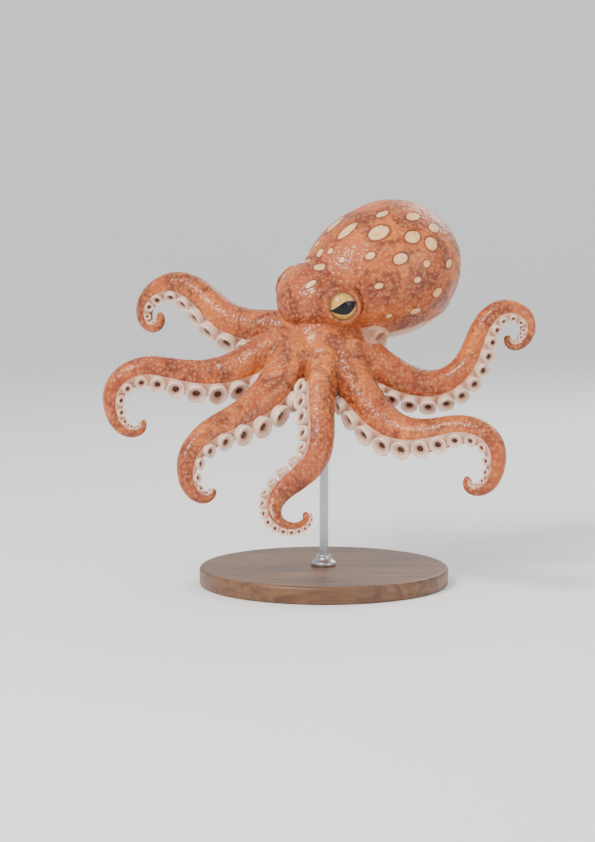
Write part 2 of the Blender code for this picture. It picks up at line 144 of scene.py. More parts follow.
# Angles in degrees: azimuth is where the arm's root lies on the crown, yaw turns its plane from root to
# tip, lean tips that plane, roll turns its suckers, and its centreline follows the headings. suckers is
# their side, girth and size are against the usual arm and suckers, and first is where they start.
ARMS = {
    "l1": dict(azimuth=270, length=0.199, yaw=(0, 0), lean=38, suckers=-1, roll=(22, 26), girth=0.82,
               size=1.08, first=0.037, headings=(256, 265, 272, 262, 227, 230, 277, 345, 412, 485)),
    "l2": dict(azimuth=310, length=0.222, yaw=(-35, -15), lean=10, suckers=-1, size=1.04,
               headings=(280, 305, 320, 355, 375, 345, 280, 240, 165, 50)),
    "l3": dict(azimuth=352, length=0.220, yaw=(-8, 10), suckers=-1, girth=0.97, size=0.90,
               headings=(315, 325, 350, 395, 430, 415, 345, 265, 185, 65)),
    "l4": dict(azimuth=52, length=0.220, yaw=(92, 5), suckers=-1, roll=(0, 20), girth=0.92,
               headings=(-28, -20, 0, 60, 85, 75, 40, -20, -100, -210)),
    "r4": dict(azimuth=100, length=0.215, yaw=(108, 84), suckers=-1, roll=(0, 15), girth=0.92,
               headings=(-25, -15, -5, 20, 50, 45, 0, -70, -150, -260)),
    "r3": dict(azimuth=140, length=0.199, yaw=(-25, -32), suckers=1, roll=(20, 36), girth=0.97, size=1.18,
               headings=(165, 180, 165, 140, 155, 195, 230, 295, 400, 490)),
    "r2": dict(azimuth=182, length=0.208, yaw=(12, 2), lean=5, suckers=1, size=1.05,
               headings=(195, 210, 195, 175, 170, 210, 265, 305, 375, 475)),
    "r1": dict(azimuth=224, length=0.187, yaw=(40, 25), lean=12, suckers=1, size=1.18,
               headings=(215, 230, 220, 205, 200, 220, 260, 300, 360, 445)),
}

# ---- sizes of the skin's own detail

VOXEL = 0.00075
BODY_GRID = (80, 110)  # rings and sectors
CROWN_GRID = (36, 60)
EYE_GRID = (90, 120)
SMOOTHING = 0.5
VOLUME_KEPT = 0.96  # share of the lost volume that is put back
FILLING = (0.06, 0.46)  # how fast creases fill: everywhere, and more near the arms' roots
FILL_ROUNDS = 26  # with voxels of 1 mm
STALK_RADIUS = 0.86  # against the sucker's rim
STALK_DEPTH = 1.7
LEAST_STALK = 0.0012  # the smallest rim with a stalk

EYE_OPENING = 0.0116  # radius of the eye that shows
EYE_CLEARANCE = 0.0012
LID_WIDTH = 0.0011
LID_BREADTH = 1.1  # against its height
UPPER_LID = 0.25  # how much heavier it is
LID_GRID = (90, 20)
LID_WRINKLES = 0.0024  # apart
LID_WRINKLE_RISE = 0.00032

MOUND_FOLD = 0.0014  # depth of the fold round each eye mound
MOUND_FOLD_RADIUS = 0.0170
MOUND_FOLD_WIDTH = 0.0011
MOUND_FOLD_MIDDLE = math.radians(50)  # round the eye, where it is deepest
# How strongly painted shade darkens the skin's colour along the fold round each eye mound.
MOUND_FOLD_PAINTED_SHADE = 0.85
RIM_RISE = 0.0013  # the free edge of the mantle below the head
RIM_WIDTH = 0.0016
KEEL_LEVEL = -0.62  # height of the pale keel round the mantle, against its half height
KEEL_RISE = 0.0014
KEEL_WIDTH = 0.0022

LUMP_RISE = 0.0006
WART_RISE = 0.00034
GRAIN_RISE = 0.00030
WRINKLE_DEPTH = 0.0004
SPOT_RISE = 0.0004
LUMPS, GRAINS, WARTS = 38.0, 130.0, 330.0  # to a metre
WRINKLES = (420, 1.6)  # to a metre along an arm, to a radian round it

SPOT_DEPTH = 0.007
FAR_FROM_SPOT = 3.0
FAR_SHIFT = 4  # the most that the far side's spots stray from their fellows' places
FAR_TURN = 14  # degrees
FAR_HEAD_TURN = 12

# Where each zone of the skin fades in or out.
MANTLE_SKIN = (0.0012, 0.0040)  # from the mantle's own surface
HEAD_SKIN = (0.002, 0.007)
ROOT_CREASES = (0.060, 0.105)  # from the crown's middle
BELOW_HEAD = (-0.004, -0.022)
ROUND_EYE = (EYE_RADIUS + 0.001, EYE_RADIUS + 0.005)
ORAL_START, STALKS_START = (0.020, 0.045), (0.024, 0.030)  # along an arm
CROWN_UNDERSIDE, ROOT_UNDERSIDE = (0.03, 0.07), (0.026, 0.050)
STALK_REACH, WEB_SKIN = (1.0, 1.12), (1.05, 1.35)  # in arm radii from its centreline
STALK_ANGLE = 62
FACES_DOWN = (0.10, 0.55)
BELLY_HEIGHT = (-0.35, -0.85)  # against the mantle's half height
KEEL_START = (-0.062, -0.040)  # behind the mantle's widest section
FUNNEL_SIDE, FUNNEL_START = (0.0120, 0.0185), (-0.004, 0.012)  # beside and along its axis
# The bore's width and span, then where along the funnel's axis its painted shade fades in towards the deep
# end.
BORE_WIDTH, BORE_SPAN, BORE_PAINTED_SHADE = FUNNEL_BORE + 0.0015, (0.008, 0.030), (0.0305, 0.0240)
ARM_BACK = (45, 80)  # degrees from the suckers
FREE_RIM = (0.45, 0.05)  # against the mantle's half height

# Pale spots of the head: degrees towards the body's rear and round to the side, length and width.
HEAD_SPOTS = ((0, 14, 10, 9), (-30, 36, 11, 5))

# Pale spots of the mantle: distance behind its widest section and degrees round from the middle of
# the back, then length and width, all in millimetres but the angle. Each has a fellow on the far side.
SPOTS = (
    (-61, -9, 8, 4), (-57, 8, 6, 5), (-56, 29, 6, 5), (-38, 4, 22, 9), (-22, 27, 19, 13), (-8, 11, 12, 6),
    (12, 26, 14, 9), (24, 42, 12, 9), (0, 44, 14, 11), (13, 55, 12, 12), (-38, 43, 9, 6), (-18, 57, 13, 9),
    (2, 69, 7, 6), (25, 78, 10, 7), (-41, 73, 8, 5), (-10, 79, 7, 5), (7, 97, 11, 8), (-36, 107, 6, 4),
    (-14, 108, 10, 6),
)

SUCKER_PROFILE = np.array((  # radius and height against the rim, from the foot up and down the cup
    (0.80, -0.95), (0.84, -0.72), (0.90, -0.48), (0.97, -0.25), (1.00, -0.07), (0.98, 0.04), (0.92, 0.10),
    (0.84, 0.09), (0.75, 0.02), (0.65, -0.06), (0.54, -0.11), (0.45, -0.13), (0.38, -0.17), (0.34, -0.27),
    (0.29, -0.42), (0.18, -0.52), (0.05, -0.55),
))
CUP_FROM = 5  # the profile's first point inside the rim
GROOVED = range(6, 12)  # its points that carry grooves
GROOVES, FEW_GROOVES = 14, 9
LARGE_RIM, MIDDLE_RIM = 0.0040, 0.0020

MOUTH_RADIUS = 0.0058
MOUTH_CLEARANCE = 1.4  # mouth radii that the suckers keep from its middle
INNER_SHARE = 0.30  # of the way to the mouth, the widest that a sucker there is
INNER_SHRINK = 0.88
INNER_SPACING = 1.06
LEAST_INNER_SUCKER = 0.0012
PROBE = 0.05  # how far below a point a ray up to the skin starts
LIP_LOBES = 19
LIPS_PROFILE = (  # radius and height against the mouth's radius, from the outside in
    (1.25, -0.6), (1.2, -0.1), (1.05, 0.28), (0.85, 0.42), (0.66, 0.34), (0.52, 0.10), (0.44, -0.25),
    (0.2, -0.5),
)

# ---- sizes of the picture

CAMERA_AIM = Vector((-0.0212, 0.0, 0.131))
CAMERA_RISE = math.radians(6)
CAMERA_DISTANCE = 1.871
FLOOR_RADIUS = 2.2
FLOOR_SECTORS = 96
SWEEP = 1.2
WALL_HEIGHT = 4.0
LIGHT_AIM = Vector((0, 0, 0.2))
LIGHTS = {  # place, size, power and colour
    "key": ((-0.9, -1.1, 1.5), 0.7, 44, (1.0, 0.98, 0.95)),
    "fill": ((1.4, -1.0, 0.7), 1.2, 9, (0.95, 0.98, 1.0)),
    "rim": ((0.8, 1.3, 1.2), 1.0, 14, (1, 1, 1)),
}


# ---- small helpers


def unit(rows):
    rows = np.asarray(rows, float)
    return rows / np.linalg.norm(rows, axis=-1, keepdims=True)


def lengths(rows):
    return np.linalg.norm(rows, axis=1)


def ease(low, high, value):
    t = np.clip((value - low) / (high - low), 0, 1)
    return t * t * (3 - 2 * t)


def bell(value, width):
    """1 where the value is 0, and next to nothing beyond two widths."""
    return np.exp(-((value / width) ** 2))


def turns(count):
    return np.linspace(0, 2 * math.pi, count, endpoint=False)


def body_axes():
    rear = np.array([math.cos(BODY_PITCH) * math.cos(BODY_BEARING),
                     math.cos(BODY_PITCH) * math.sin(BODY_BEARING), math.sin(BODY_PITCH)])
    level = np.array([math.sin(BODY_BEARING), -math.cos(BODY_BEARING), 0])
    left = level * math.cos(BODY_ROLL) - np.cross(level, rear) * math.sin(BODY_ROLL)
    return rear, left, np.cross(left, rear)


REAR, LEFT, BACK = body_axes()
CROWN_DOWN = np.array([0, math.sin(CROWN_TILT), -math.cos(CROWN_TILT)])
CROWN_SIDE = np.array([1.0, 0, 0])
CROWN_ACROSS = np.cross(CROWN_DOWN, CROWN_SIDE)
MANTLE_CENTRE = HEAD_CENTRE + REAR * MANTLE_SET_BACK


def wrapped_faces(rows, columns):
    """Faces between neighbouring rows of points, where each row closes on itself."""
    return [(i * columns + j, i * columns + (j + 1) % columns,
             (i + 1) * columns + (j + 1) % columns, (i + 1) * columns + j)
            for i in range(rows - 1) for j in range(columns)]


class Shells:
    """Closed shapes gathered into one mesh."""

    def __init__(self):
        self.points, self.faces, self.count = [], [], 0

    def add(self, points, faces):
        self.points.append(np.asarray(points, float).reshape(-1, 3))
        self.faces.extend(tuple(int(i) + self.count for i in face) for face in faces)
        self.count += len(self.points[-1])

    def rings(self, rings):
        """A tube through rings of points, closed at both ends by a point in the middle."""
        rings = np.asarray(rings, float)
        rows, columns = rings.shape[:2]
        points = np.concatenate([rings.reshape(-1, 3), [rings[0].mean(0)], [rings[-1].mean(0)]])
        faces = wrapped_faces(rows, columns)
        foot, top, last = rows * columns, rows * columns + 1, (rows - 1) * columns
        for j in range(columns):
            k = (j + 1) % columns
            faces += [(foot, k, j), (top, last + j, last + k)]
        self.add(points, faces)

    def turned(self, foot, axis, profile, sides):
        """A profile of (radius, height) turned about the line from foot along axis."""
        axis = unit(axis)
        side = unit(np.cross(axis, [0.31, 0.87, 0.39]))  # any direction that no axis here runs along
        other = np.cross(axis, side)
        turn = turns(sides)[:, None]
        self.rings([foot + axis * height + (side * np.cos(turn) + other * np.sin(turn)) * radius
                    for radius, height in profile])

    def star(self, centre, axes, radius_at, grid):
        """A shape given by its radius in each direction; its poles lie on axes[0]."""
        rings, sectors = grid
        polar = np.pi * np.arange(1, rings) / rings
        turn = 2 * np.pi * np.arange(sectors) / sectors
        direction = np.stack([np.repeat(np.cos(polar), sectors),
                              np.outer(np.sin(polar), np.cos(turn)).ravel(),
                              np.outer(np.sin(polar), np.sin(turn)).ravel()], 1)
        direction = np.concatenate([direction, [[1.0, 0, 0], [-1.0, 0, 0]]])
        points = centre + (direction * radius_at(direction)[:, None]) @ np.array(axes)
        faces = [(a, d, c, b) for a, b, c, d in wrapped_faces(rings - 1, sectors)]
        first, last = len(points) - 2, (rings - 2) * sectors
        for j in range(sectors):
            k = (j + 1) % sectors
            faces += [(first, j, k), (last + k, last + j, first + 1)]
        self.add(points, faces)

    def object(self, name):
        mesh = bpy.data.meshes.new(name)
        mesh.from_pydata(np.concatenate(self.points).tolist(), [], self.faces)
        mesh.validate()
        return new_object(name, mesh)


def new_object(name, data):
    made = bpy.data.objects.new(name, data)
    bpy.context.scene.collection.objects.link(made)
    return made


def finish(mesh, material, **attributes):
    """Gives a mesh smooth shading, its one material and the values that the material reads."""
    mesh.shade_smooth()
    mesh.materials.clear()
    mesh.materials.append(material)
    for name, values in attributes.items():
        flat = values.ndim == 1
        made = mesh.attributes.new(name, "FLOAT" if flat else "FLOAT_VECTOR", "POINT")
        made.data.foreach_set("value" if flat else "vector", np.asarray(values, float).ravel())


# ---- arms


def smooth_values(shares, values, at):
    """Values on a smooth curve through the values at the given shares."""
    shares, values = np.asarray(shares, float), np.asarray(values, float)
    last = len(shares) - 1
    before = np.maximum(np.arange(last + 1) - 1, 0)
    after = np.minimum(np.arange(last + 1) + 1, last)
    slope = (values[after] - values[before]) / (shares[after] - shares[before])
    k = np.clip(np.searchsorted(shares, at, side="right") - 1, 0, last - 1)
    width = shares[k + 1] - shares[k]
    t = (at - shares[k]) / width
    return ((2 * t**3 - 3 * t**2 + 1) * values[k] + (t**3 - 2 * t**2 + t) * width * slope[k]
            + (3 * t**2 - 2 * t**3) * values[k + 1] + (t**3 - t**2) * width * slope[k + 1])


class Arm:
    """One arm: its centreline, its girth and the row of suckers along it."""

    def __init__(self, azimuth, length, yaw, suckers, headings, lean=0, roll=(20, 48), girth=1.0, size=1.0,
                 first=FIRST_SUCKER):
        self.azimuth, self.length, self.girth = math.radians(azimuth), length, girth
        self.size, self.first = size, first
        stations = len(headings) - 1
        shares = [1 - (1 - k / stations) ** STATION_POWER for k in range(stations + 1)]
        steps = round(length / PATH_STEP)
        share = np.arange(steps + 1) / steps
        heading = np.radians(smooth_values(shares, headings, share))[:, None]
        bearing = np.radians(yaw[0] + (yaw[1] - yaw[0]) * share)
        rolled = np.radians(roll[0] + (roll[1] - roll[0]) * np.minimum(1, share / ROLLED_BY))[:, None]
        lean = math.radians(lean)
        up = np.array([0, math.sin(lean), math.cos(lean)])
        right = np.stack([np.cos(bearing), np.sin(bearing), 0 * bearing], 1)
        self.along = unit(right * np.cos(heading) + up * np.sin(heading))
        self.facing = unit(np.cross(right, up))
        beside = np.cross(self.facing, self.along) * suckers
        self.oral = unit(beside * np.cos(rolled) + self.facing * np.sin(rolled))
        walked = np.cumsum(self.along, axis=0) * (length / steps)
        self.places = self.root() + np.concatenate([[[0, 0, 0]], walked])

    def root(self):
        """Where its centreline starts, on a tilted circle in the crown."""
        away = math.sin(self.azimuth)
        return CROWN_CENTRE + RING_RADIUS * np.array(
            [math.cos(self.azimuth), away * math.cos(CROWN_TILT), away * math.sin(CROWN_TILT)])

    def at(self, distance):
        """Places, and the directions along, to the suckers and across, at distances along the arm."""
        distance = np.atleast_1d(np.asarray(distance, float))
        inside = np.clip(distance, 0, self.length)
        where = inside / self.length * (len(self.along) - 1)
        i = np.minimum(where.astype(int), len(self.along) - 2)
        part = (where - i)[:, None]

        def between(rows):
            return rows[i] * (1 - part) + rows[i + 1] * part

        along, oral = unit(between(self.along)), unit(between(self.oral))
        place = between(self.places) + along * (distance - inside)[:, None]
        return place, along, oral, np.cross(along, oral)

    def radius(self, distance):
        distance = np.asarray(distance, float)
        share = np.clip(distance / self.length, 0, 1)
        full = ARM_RADIUS * self.girth * (1 - (1 - TIP_SHARE) * share**TAPER_POWER)
        left = np.clip((self.length + TIP_BEYOND - distance) / TIP_POINT, 0, 1)
        return full * np.sqrt(np.clip(1 - (1 - left) ** 2, 0.0004, 1))

    def skin(self, distance, angles):
        """Rings of the skin's points at angles, in radians from the suckers' side."""
        place, _, oral, across = self.at(distance)
        girth = 1 - ORAL_FLATTENING * ((1 + np.cos(angles)) / 2) ** 3
        girth += MARGIN_RISE * bell(np.degrees(np.abs(angles)) - MARGIN_ANGLE, MARGIN_WIDTH)
        reach = self.radius(distance)[:, None, None] * girth[None, :, None]
        angles = angles[None, :, None]
        return place[:, None] + (oral[:, None] * np.cos(angles) + across[:, None] * np.sin(angles)) * reach

    def suckers(self):
        """Each sucker's distance along the arm and its rim radius."""
        found, distance = [], self.first
        while distance < self.length - LAST_SUCKER:
            radius = float(self.radius(distance))
            ends = self.at([distance - BEND_REACH, distance + BEND_REACH])[1]
            bend = float((ends[1] - ends[0]) @ self.at(distance)[2][0]) / (2 * BEND_REACH)
            squeezed = bend * radius * (1 - ORAL_FLATTENING + SUCKER_HEIGHT)
            size = min(1 - SUCKER_CROWDING * min(max(squeezed, 0), 1),
                       FIRST_SIZE + (1 - FIRST_SIZE) * distance / FULL_SIZE_FROM, 1)
            rim = SUCKER_RIM * radius * size * self.size
            if rim < LEAST_SUCKER:
                break
            found.append((distance, rim))
            distance += SUCKER_SPACING * rim / min(max(1 - squeezed, SPREAD_LIMITS[0]), SPREAD_LIMITS[1])
        return found

    def sucker_top(self, distance, rim):
        """The middle of a sucker's mouth, the direction it faces and the one along the arm."""
        place, along, oral, _ = (rows[0] for rows in self.at(distance))
        facing = self.facing[min(int(distance / PATH_STEP), len(self.facing) - 1)]
        out = unit(oral + facing * math.tan(SUCKER_SPLAY))
        foot = place + oral * float(self.radius(distance)) * (1 - ORAL_FLATTENING)
        along = unit(along - out * (along @ out))
        return foot + out * (SUCKER_HEIGHT / SUCKER_RIM / self.size * rim), out, along


ARM_MODELS = {key: Arm(**facts) for key, facts in ARMS.items()}


# ---- the raw flesh, before it is made one


def ellipsoid_radius(direction, half_sizes):
    return 1 / np.sqrt(((direction / np.asarray(half_sizes)) ** 2).sum(1))


def mound_place(side):
    """An eye mound's middle, from the head's, in the head's own directions: left, rear, back."""
    return np.array([EYE_SPREAD * side, 0.0, EYE_LIFT[side]])


def head_radius(direction):
    """The head with its eye mounds, in the directions left, rear and back."""
    reach = ellipsoid_radius(direction, (HEAD_WIDTH, HEAD_LENGTH, HEAD_HEIGHT))
    for side in SIDES:
        mound = mound_place(side)
        towards = direction @ mound
        inside = towards**2 - mound @ mound + MOUND_RADIUS**2
        outer = towards + np.sqrt(np.maximum(inside, 0))
        reach = np.where((inside > 0) & (towards > 0), np.maximum(reach, outer), reach)
    return reach


def mantle_radius(direction):
    """The mantle about the middle of its widest section, in the directions rear, back and left."""
    length = np.where(direction[:, 0] > 0, MANTLE_REAR, MANTLE_FRONT)
    height, width = np.full_like(length, MANTLE_HEIGHT), np.full_like(length, MANTLE_WIDTH)
    return ellipsoid_radius(direction, np.stack([length, height, width], 1))


def gaze(side):
    return unit(LEFT * side - REAR * GAZE_FORWARD[side] + BACK * GAZE_UP[side])


def eye_centre(side):
    return HEAD_CENTRE + mound_place(side) @ np.array([LEFT, REAR, BACK]) + gaze(side) * EYE_RISE


def eye_axes(side):
    """Out of the eye, to the body's rear and up across the eye."""
    out = gaze(side)
    rear = unit(REAR - out * (REAR @ out))
    return out, rear, np.cross(out, rear) * side


def add_lids(shells, side):
    """A soft rim round the eye's opening, heavier above."""
    out, rear, up = eye_axes(side)
    steps, sides = LID_GRID
    turn = turns(sides)[:, None]
    rings = []
    for angle in turns(steps):
        spoke = rear * math.cos(angle) + up * math.sin(angle)
        width = LID_WIDTH * (1 + UPPER_LID * max(0.0, math.sin(angle)))
        ring_radius = EYE_OPENING + width * LID_BREADTH
        depth = math.sqrt(MOUND_RADIUS**2 - ring_radius**2) - EYE_RISE
        middle = eye_centre(side) + spoke * ring_radius + out * depth
        rings.append(middle + (spoke * np.cos(turn) * LID_BREADTH + out * np.sin(turn)) * width)
    faces = [tuple(i % (steps * sides) for i in face) for face in wrapped_faces(steps + 1, sides)]
    shells.add(rings, [face[::-1] for face in faces] if side > 0 else faces)


def add_arm(shells, arm):
    """An arm with the stalks that its suckers sit on."""
    angles = np.radians(np.arange(0, 360, ARM_SECTOR) - 180.0)
    shells.rings(arm.skin(np.arange(-ROOT_DEPTH, arm.length + TIP_BEYOND, ARM_STEP), angles))
    for distance, rim in arm.suckers():
        if rim > LEAST_STALK:
            top, out, _ = arm.sucker_top(distance, rim)
            profile = [(rim * 1.0, 0), (rim * 0.92, rim * 0.55), (rim * STALK_RADIUS, rim * 0.9)]
            shells.turned(top - out * rim * STALK_DEPTH, out, profile, 18)


def add_web(shells, arm, neighbour):
    """The sheet of skin between two arms."""
    across = np.linspace(0, 1, WEB_SPANS)
    part = across[:, None]
    edge = WEB_REACH * (1 - WEB_SAG * np.sin(np.pi * across))
    rings = []
    for share in across:
        distance = WEB_START + (edge - WEB_START) * share
        (place, _, oral, _), (other, _, other_oral, _) = arm.at(distance), neighbour.at(distance)
        lift = WEB_LIFT * (arm.radius(distance) + neighbour.radius(distance)) / 2
        away = unit(oral * (1 - part) + other_oral * part)
        middle = place * (1 - part) + other * part - away * lift[:, None]
        half = away * (WEB_THICKNESS[0] + (WEB_THICKNESS[1] - WEB_THICKNESS[0]) * share) / 2
        rings.append(np.concatenate([middle - half, (middle + half)[::-1]]))
    shells.rings(rings)


def add_funnel(shells):
    """The funnel, with a rounded lip and a bore that narrows inwards."""
    axis = FUNNEL_TIP - FUNNEL_ROOT
    length = np.linalg.norm(axis)
    lip, bore = FUNNEL_TIP_RADIUS, FUNNEL_BORE
    profile = [(FUNNEL_ROOT_RADIUS, -0.004), (FUNNEL_ROOT_RADIUS, 0), (FUNNEL_MIDDLE_RADIUS, length * 0.5),
               (lip * 0.96, length * 0.84), (lip, length * 0.93), (lip * 0.97, length * 0.985),
               (lip * 0.86, length), (lip * 0.70, length * 0.99), (bore, length * 0.93),
               (bore * 0.86, length * 0.75), (bore * 0.75, length - BORE_DEPTH)]
    shells.turned(FUNNEL_ROOT, axis, profile, 40)


def raw_flesh():
    shells = Shells()
    crown_sizes = (CROWN_HALF_HEIGHT, CROWN_RADIUS, CROWN_RADIUS)
    shells.star(CROWN_CENTRE, (CROWN_DOWN, CROWN_SIDE, CROWN_ACROSS),
                lambda direction: ellipsoid_radius(direction, crown_sizes), CROWN_GRID)
    shells.star(HEAD_CENTRE, (LEFT, REAR, BACK), head_radius, BODY_GRID)
    shells.star(MANTLE_CENTRE, (REAR, BACK, LEFT), mantle_radius, BODY_GRID)
    for side in SIDES:
        add_lids(shells, side)
    add_funnel(shells)
    arms = list(ARM_MODELS.values())
    for arm in arms:
        add_arm(shells, arm)
    for arm, neighbour in zip(arms, arms[1:] + arms[:1]):
        add_web(shells, arm, neighbour)
    return shells.object("raw_flesh")


# ---- one skin


def read(items, name, width, kind):
    """One property of all the items, each with that many numbers."""
    values = np.empty(len(items) * width, kind)
    items.foreach_get(name, values)
    return values


class Surface:
    """The skin's points, with the sums over neighbours that smoothing needs."""

    def __init__(self, mesh):
        self.points = read(mesh.vertices, "co", 3, float).reshape(-1, 3)
        self.edges = read(mesh.edges, "vertices", 2, np.int32).reshape(-1, 2)
        self.quads = read(mesh.loops, "vertex_index", 1, np.int32).reshape(-1, 4)
        neighbours = np.bincount(self.edges.ravel(), minlength=len(self.points))
        self.degree = np.maximum(neighbours, 1)[:, None]

    def neighbours_mean(self, values):
        a, b = self.edges.T
        count = len(self.points)
        columns = [np.bincount(a, column[b], count) + np.bincount(b, column[a], count) for column in values.T]
        return np.stack(columns, 1) / self.degree

    def normals(self):
        p = self.points[self.quads]
        across = np.cross(p[:, 2] - p[:, 0], p[:, 3] - p[:, 1])
        count = len(self.points)
        summed = [sum(np.bincount(self.quads[:, c], across[:, k], count) for c in range(4)) for k in range(3)]
        return unit(np.stack(summed, 1) + 1e-20)

    def smooth(self, times):
        """Evens out the surface and puts most of the lost volume back."""
        for _ in range(times):
            self.points += (self.neighbours_mean(self.points) - self.points) * SMOOTHING
            self.points -= (self.neighbours_mean(self.points) - self.points) * SMOOTHING * VOLUME_KEPT

    def fill_creases(self, weight, times):
        """Rounds the hollows without wearing down what stands out."""
        for _ in range(times):
            pull = self.neighbours_mean(self.points) - self.points
            outwards = (pull * self.normals()).sum(1)
            self.points += pull * (np.where(outwards > 0, 1.0, 0.0) * weight)[:, None]


def one_flesh():
    """The raw flesh joined into one mesh without inner walls."""
    raw = raw_flesh()
    remesh = raw.modifiers.new("one", "REMESH")
    remesh.mode = "VOXEL"
    remesh.voxel_size = VOXEL
    mesh = bpy.data.meshes.new_from_object(raw.evaluated_get(bpy.context.evaluated_depsgraph_get()))
    bpy.data.objects.remove(raw)
    return mesh


class Where:
    """What each point of the skin belongs to."""

    def __init__(self, surface):
        self.points, self.normals = surface.points, surface.normals()
        self.find_arms()
        offset = self.points - MANTLE_CENTRE
        self.mantle = np.stack([offset @ REAR, offset @ BACK, offset @ LEFT], 1)
        self.from_mantle = lengths(offset) - mantle_radius(unit(self.mantle))
        self.on_mantle = 1 - ease(*MANTLE_SKIN, np.abs(self.from_mantle))
        self.mantle_height = self.mantle[:, 1] / MANTLE_HEIGHT
        offset = self.points - HEAD_CENTRE
        self.head = np.stack([offset @ LEFT, offset @ REAR, offset @ BACK], 1)
        self.from_head = lengths(offset) - head_radius(unit(self.head))
        self.on_head = (1 - ease(*HEAD_SKIN, np.abs(self.from_head))) * (1 - self.on_mantle)
        self.on_body = np.maximum(self.on_mantle, self.on_head)
        self.from_eye = np.min([lengths(self.points - eye_centre(side)) for side in SIDES], axis=0)
        self.from_crown = lengths(self.points - CROWN_CENTRE)

    def find_arms(self):
        """The nearest arm, how far along it each point is, and where round it."""
        stride = 2
        tree = kdtree.KDTree(sum(len(arm.along[::stride]) for arm in ARM_MODELS.values()))
        owners, distances = [], []
        for number, arm in enumerate(ARM_MODELS.values()):
            for i in range(0, len(arm.along), stride):
                tree.insert(arm.places[i], len(owners))
                owners.append(number)
                distances.append(i * PATH_STEP)
        tree.balance()
        nearest = np.array([tree.find(point)[1] for point in self.points.tolist()])
        self.arm, self.along = np.array(owners)[nearest], np.array(distances)[nearest]
        place, self.arm_oral, across = (np.empty_like(self.points) for _ in range(3))
        self.arm_radius = np.empty(len(self.points))
        for number, arm in enumerate(ARM_MODELS.values()):
            own = self.arm == number
            place[own], _, self.arm_oral[own], across[own] = arm.at(self.along[own])
            self.arm_radius[own] = arm.radius(self.along[own])
        offset = self.points - place
        self.off_axis = lengths(offset) / self.arm_radius
        self.from_suckers = np.arctan2((offset * across).sum(1), (offset * self.arm_oral).sum(1))


def noise_at(points, scale, seed=0.0):
    shift = Vector((seed, seed * 1.7, -seed))
    make = noise.noise
    return np.array([make(Vector(p) * scale + shift) for p in points.tolist()])


def cells_at(points, scale):
    """Distance to the nearest cell's middle, in shares of a cell."""
    make = noise.voronoi
    return np.array([make(Vector(p) * scale)[0][0] for p in points.tolist()])


def from_spot(points, middle, out, ahead, length, width):
    """How far points are from an oval spot's middle, 1 on its edge; ahead is its long direction."""
    lengthways = unit(ahead - out * (out @ ahead))
    offset = points - middle
    near = np.hypot(offset @ lengthways / (length * MM / 2),
                    offset @ np.cross(out, lengthways) / (width * MM / 2))
    return np.where(np.abs(offset @ out) < SPOT_DEPTH, near, FAR_FROM_SPOT)


def mantle_spots(where, side):
    """How far each point is from each of one side's spots on the mantle."""
    for number, (behind, around, length, width) in enumerate(SPOTS):
        shift = 0 if side > 0 else FAR_SHIFT * math.sin(2.4 * number)
        share = (behind + shift) * MM
        turn = math.radians((around + shift + (0 if side > 0 else FAR_TURN)) * side)
        full = MANTLE_REAR if share > 0 else MANTLE_FRONT
        girth = math.sqrt(max(0.02, 1 - (share / full) ** 2))
        height, aside = MANTLE_HEIGHT * girth * math.cos(turn), MANTLE_WIDTH * girth * math.sin(turn)
        middle = np.array([share, height, aside])
        out = unit(middle / np.array([full, MANTLE_HEIGHT, MANTLE_WIDTH]) ** 2)
        yield from_spot(where.mantle, middle, out, np.array([1.0, 0, 0]), length, width)


def head_spots(where, side):
    """How far each point is from each of one side's spots on the head."""
    for behind, around, length, width in HEAD_SPOTS:
        back = math.radians(behind)
        turn = math.radians(around + (0 if side > 0 else FAR_HEAD_TURN)) * side
        out = np.array([math.cos(back) * math.sin(turn), math.sin(back), math.cos(back) * math.cos(turn)])
        middle = out * head_radius(out[None])[0]
        yield from_spot(where.head, middle, out, np.array([0, 1.0, 0]), length, width)


def spot_nearness(where):
    """How far each point is from the nearest pale spot's middle: 1 on the spot's edge."""
    nearest = np.full(len(where.points), FAR_FROM_SPOT)
    for side in SIDES:
        for near in (*mantle_spots(where, side), *head_spots(where, side)):
            nearest = np.minimum(nearest, near)
    return nearest


def mound_fold(where):
    """1 along the fold that runs over each eye mound and down behind it."""
    fold = np.zeros(len(where.points))
    for side in SIDES:
        out, rear, up = eye_axes(side)
        offset = where.points - eye_centre(side)
        behind, high = offset @ rear, offset @ up
        from_middle = np.arctan2(high, behind) - MOUND_FOLD_MIDDLE
        there = np.clip(0.75 + 0.75 * np.cos(from_middle), 0, 1) * (offset @ out > -0.006)
        fold = np.maximum(fold, bell(np.hypot(behind, high) - MOUND_FOLD_RADIUS, MOUND_FOLD_WIDTH) * there)
    return fold * (1 - 0.7 * where.on_mantle)


def oral_zone(where):
    """1 on the pale side of the arms, round the suckers' stalks, and under the web and the crown."""
    angle = np.degrees(np.abs(where.from_suckers))
    band = 1 - ease(MARGIN_ANGLE - 9, MARGIN_ANGLE + 1, angle)
    band *= ease(*ORAL_START, where.along)
    stalk = ease(*STALK_REACH, where.off_axis) * (angle < STALK_ANGLE)
    stalk *= ease(*STALKS_START, where.along)
    down = ease(*CROWN_UNDERSIDE, where.along)[:, None]
    under = unit(where.arm_oral * down + CROWN_DOWN * (1 - down))
    between = ease(*WEB_SKIN, where.off_axis) * (where.along < WEB_REACH + 0.012)
    root = 1 - ease(*ROOT_UNDERSIDE, where.along)
    beneath = ease(*FACES_DOWN, (where.normals * under).sum(1)) * np.maximum(between, root)
    return np.maximum(np.maximum(band, stalk) * (1 - between), beneath) * (1 - where.on_body)


def keel_zone(where):
    """1 along the pale ridge round the mantle."""
    keel = bell((where.mantle_height - KEEL_LEVEL) * MANTLE_HEIGHT, KEEL_WIDTH)
    return keel * where.on_mantle * ease(*KEEL_START, where.mantle[:, 0])


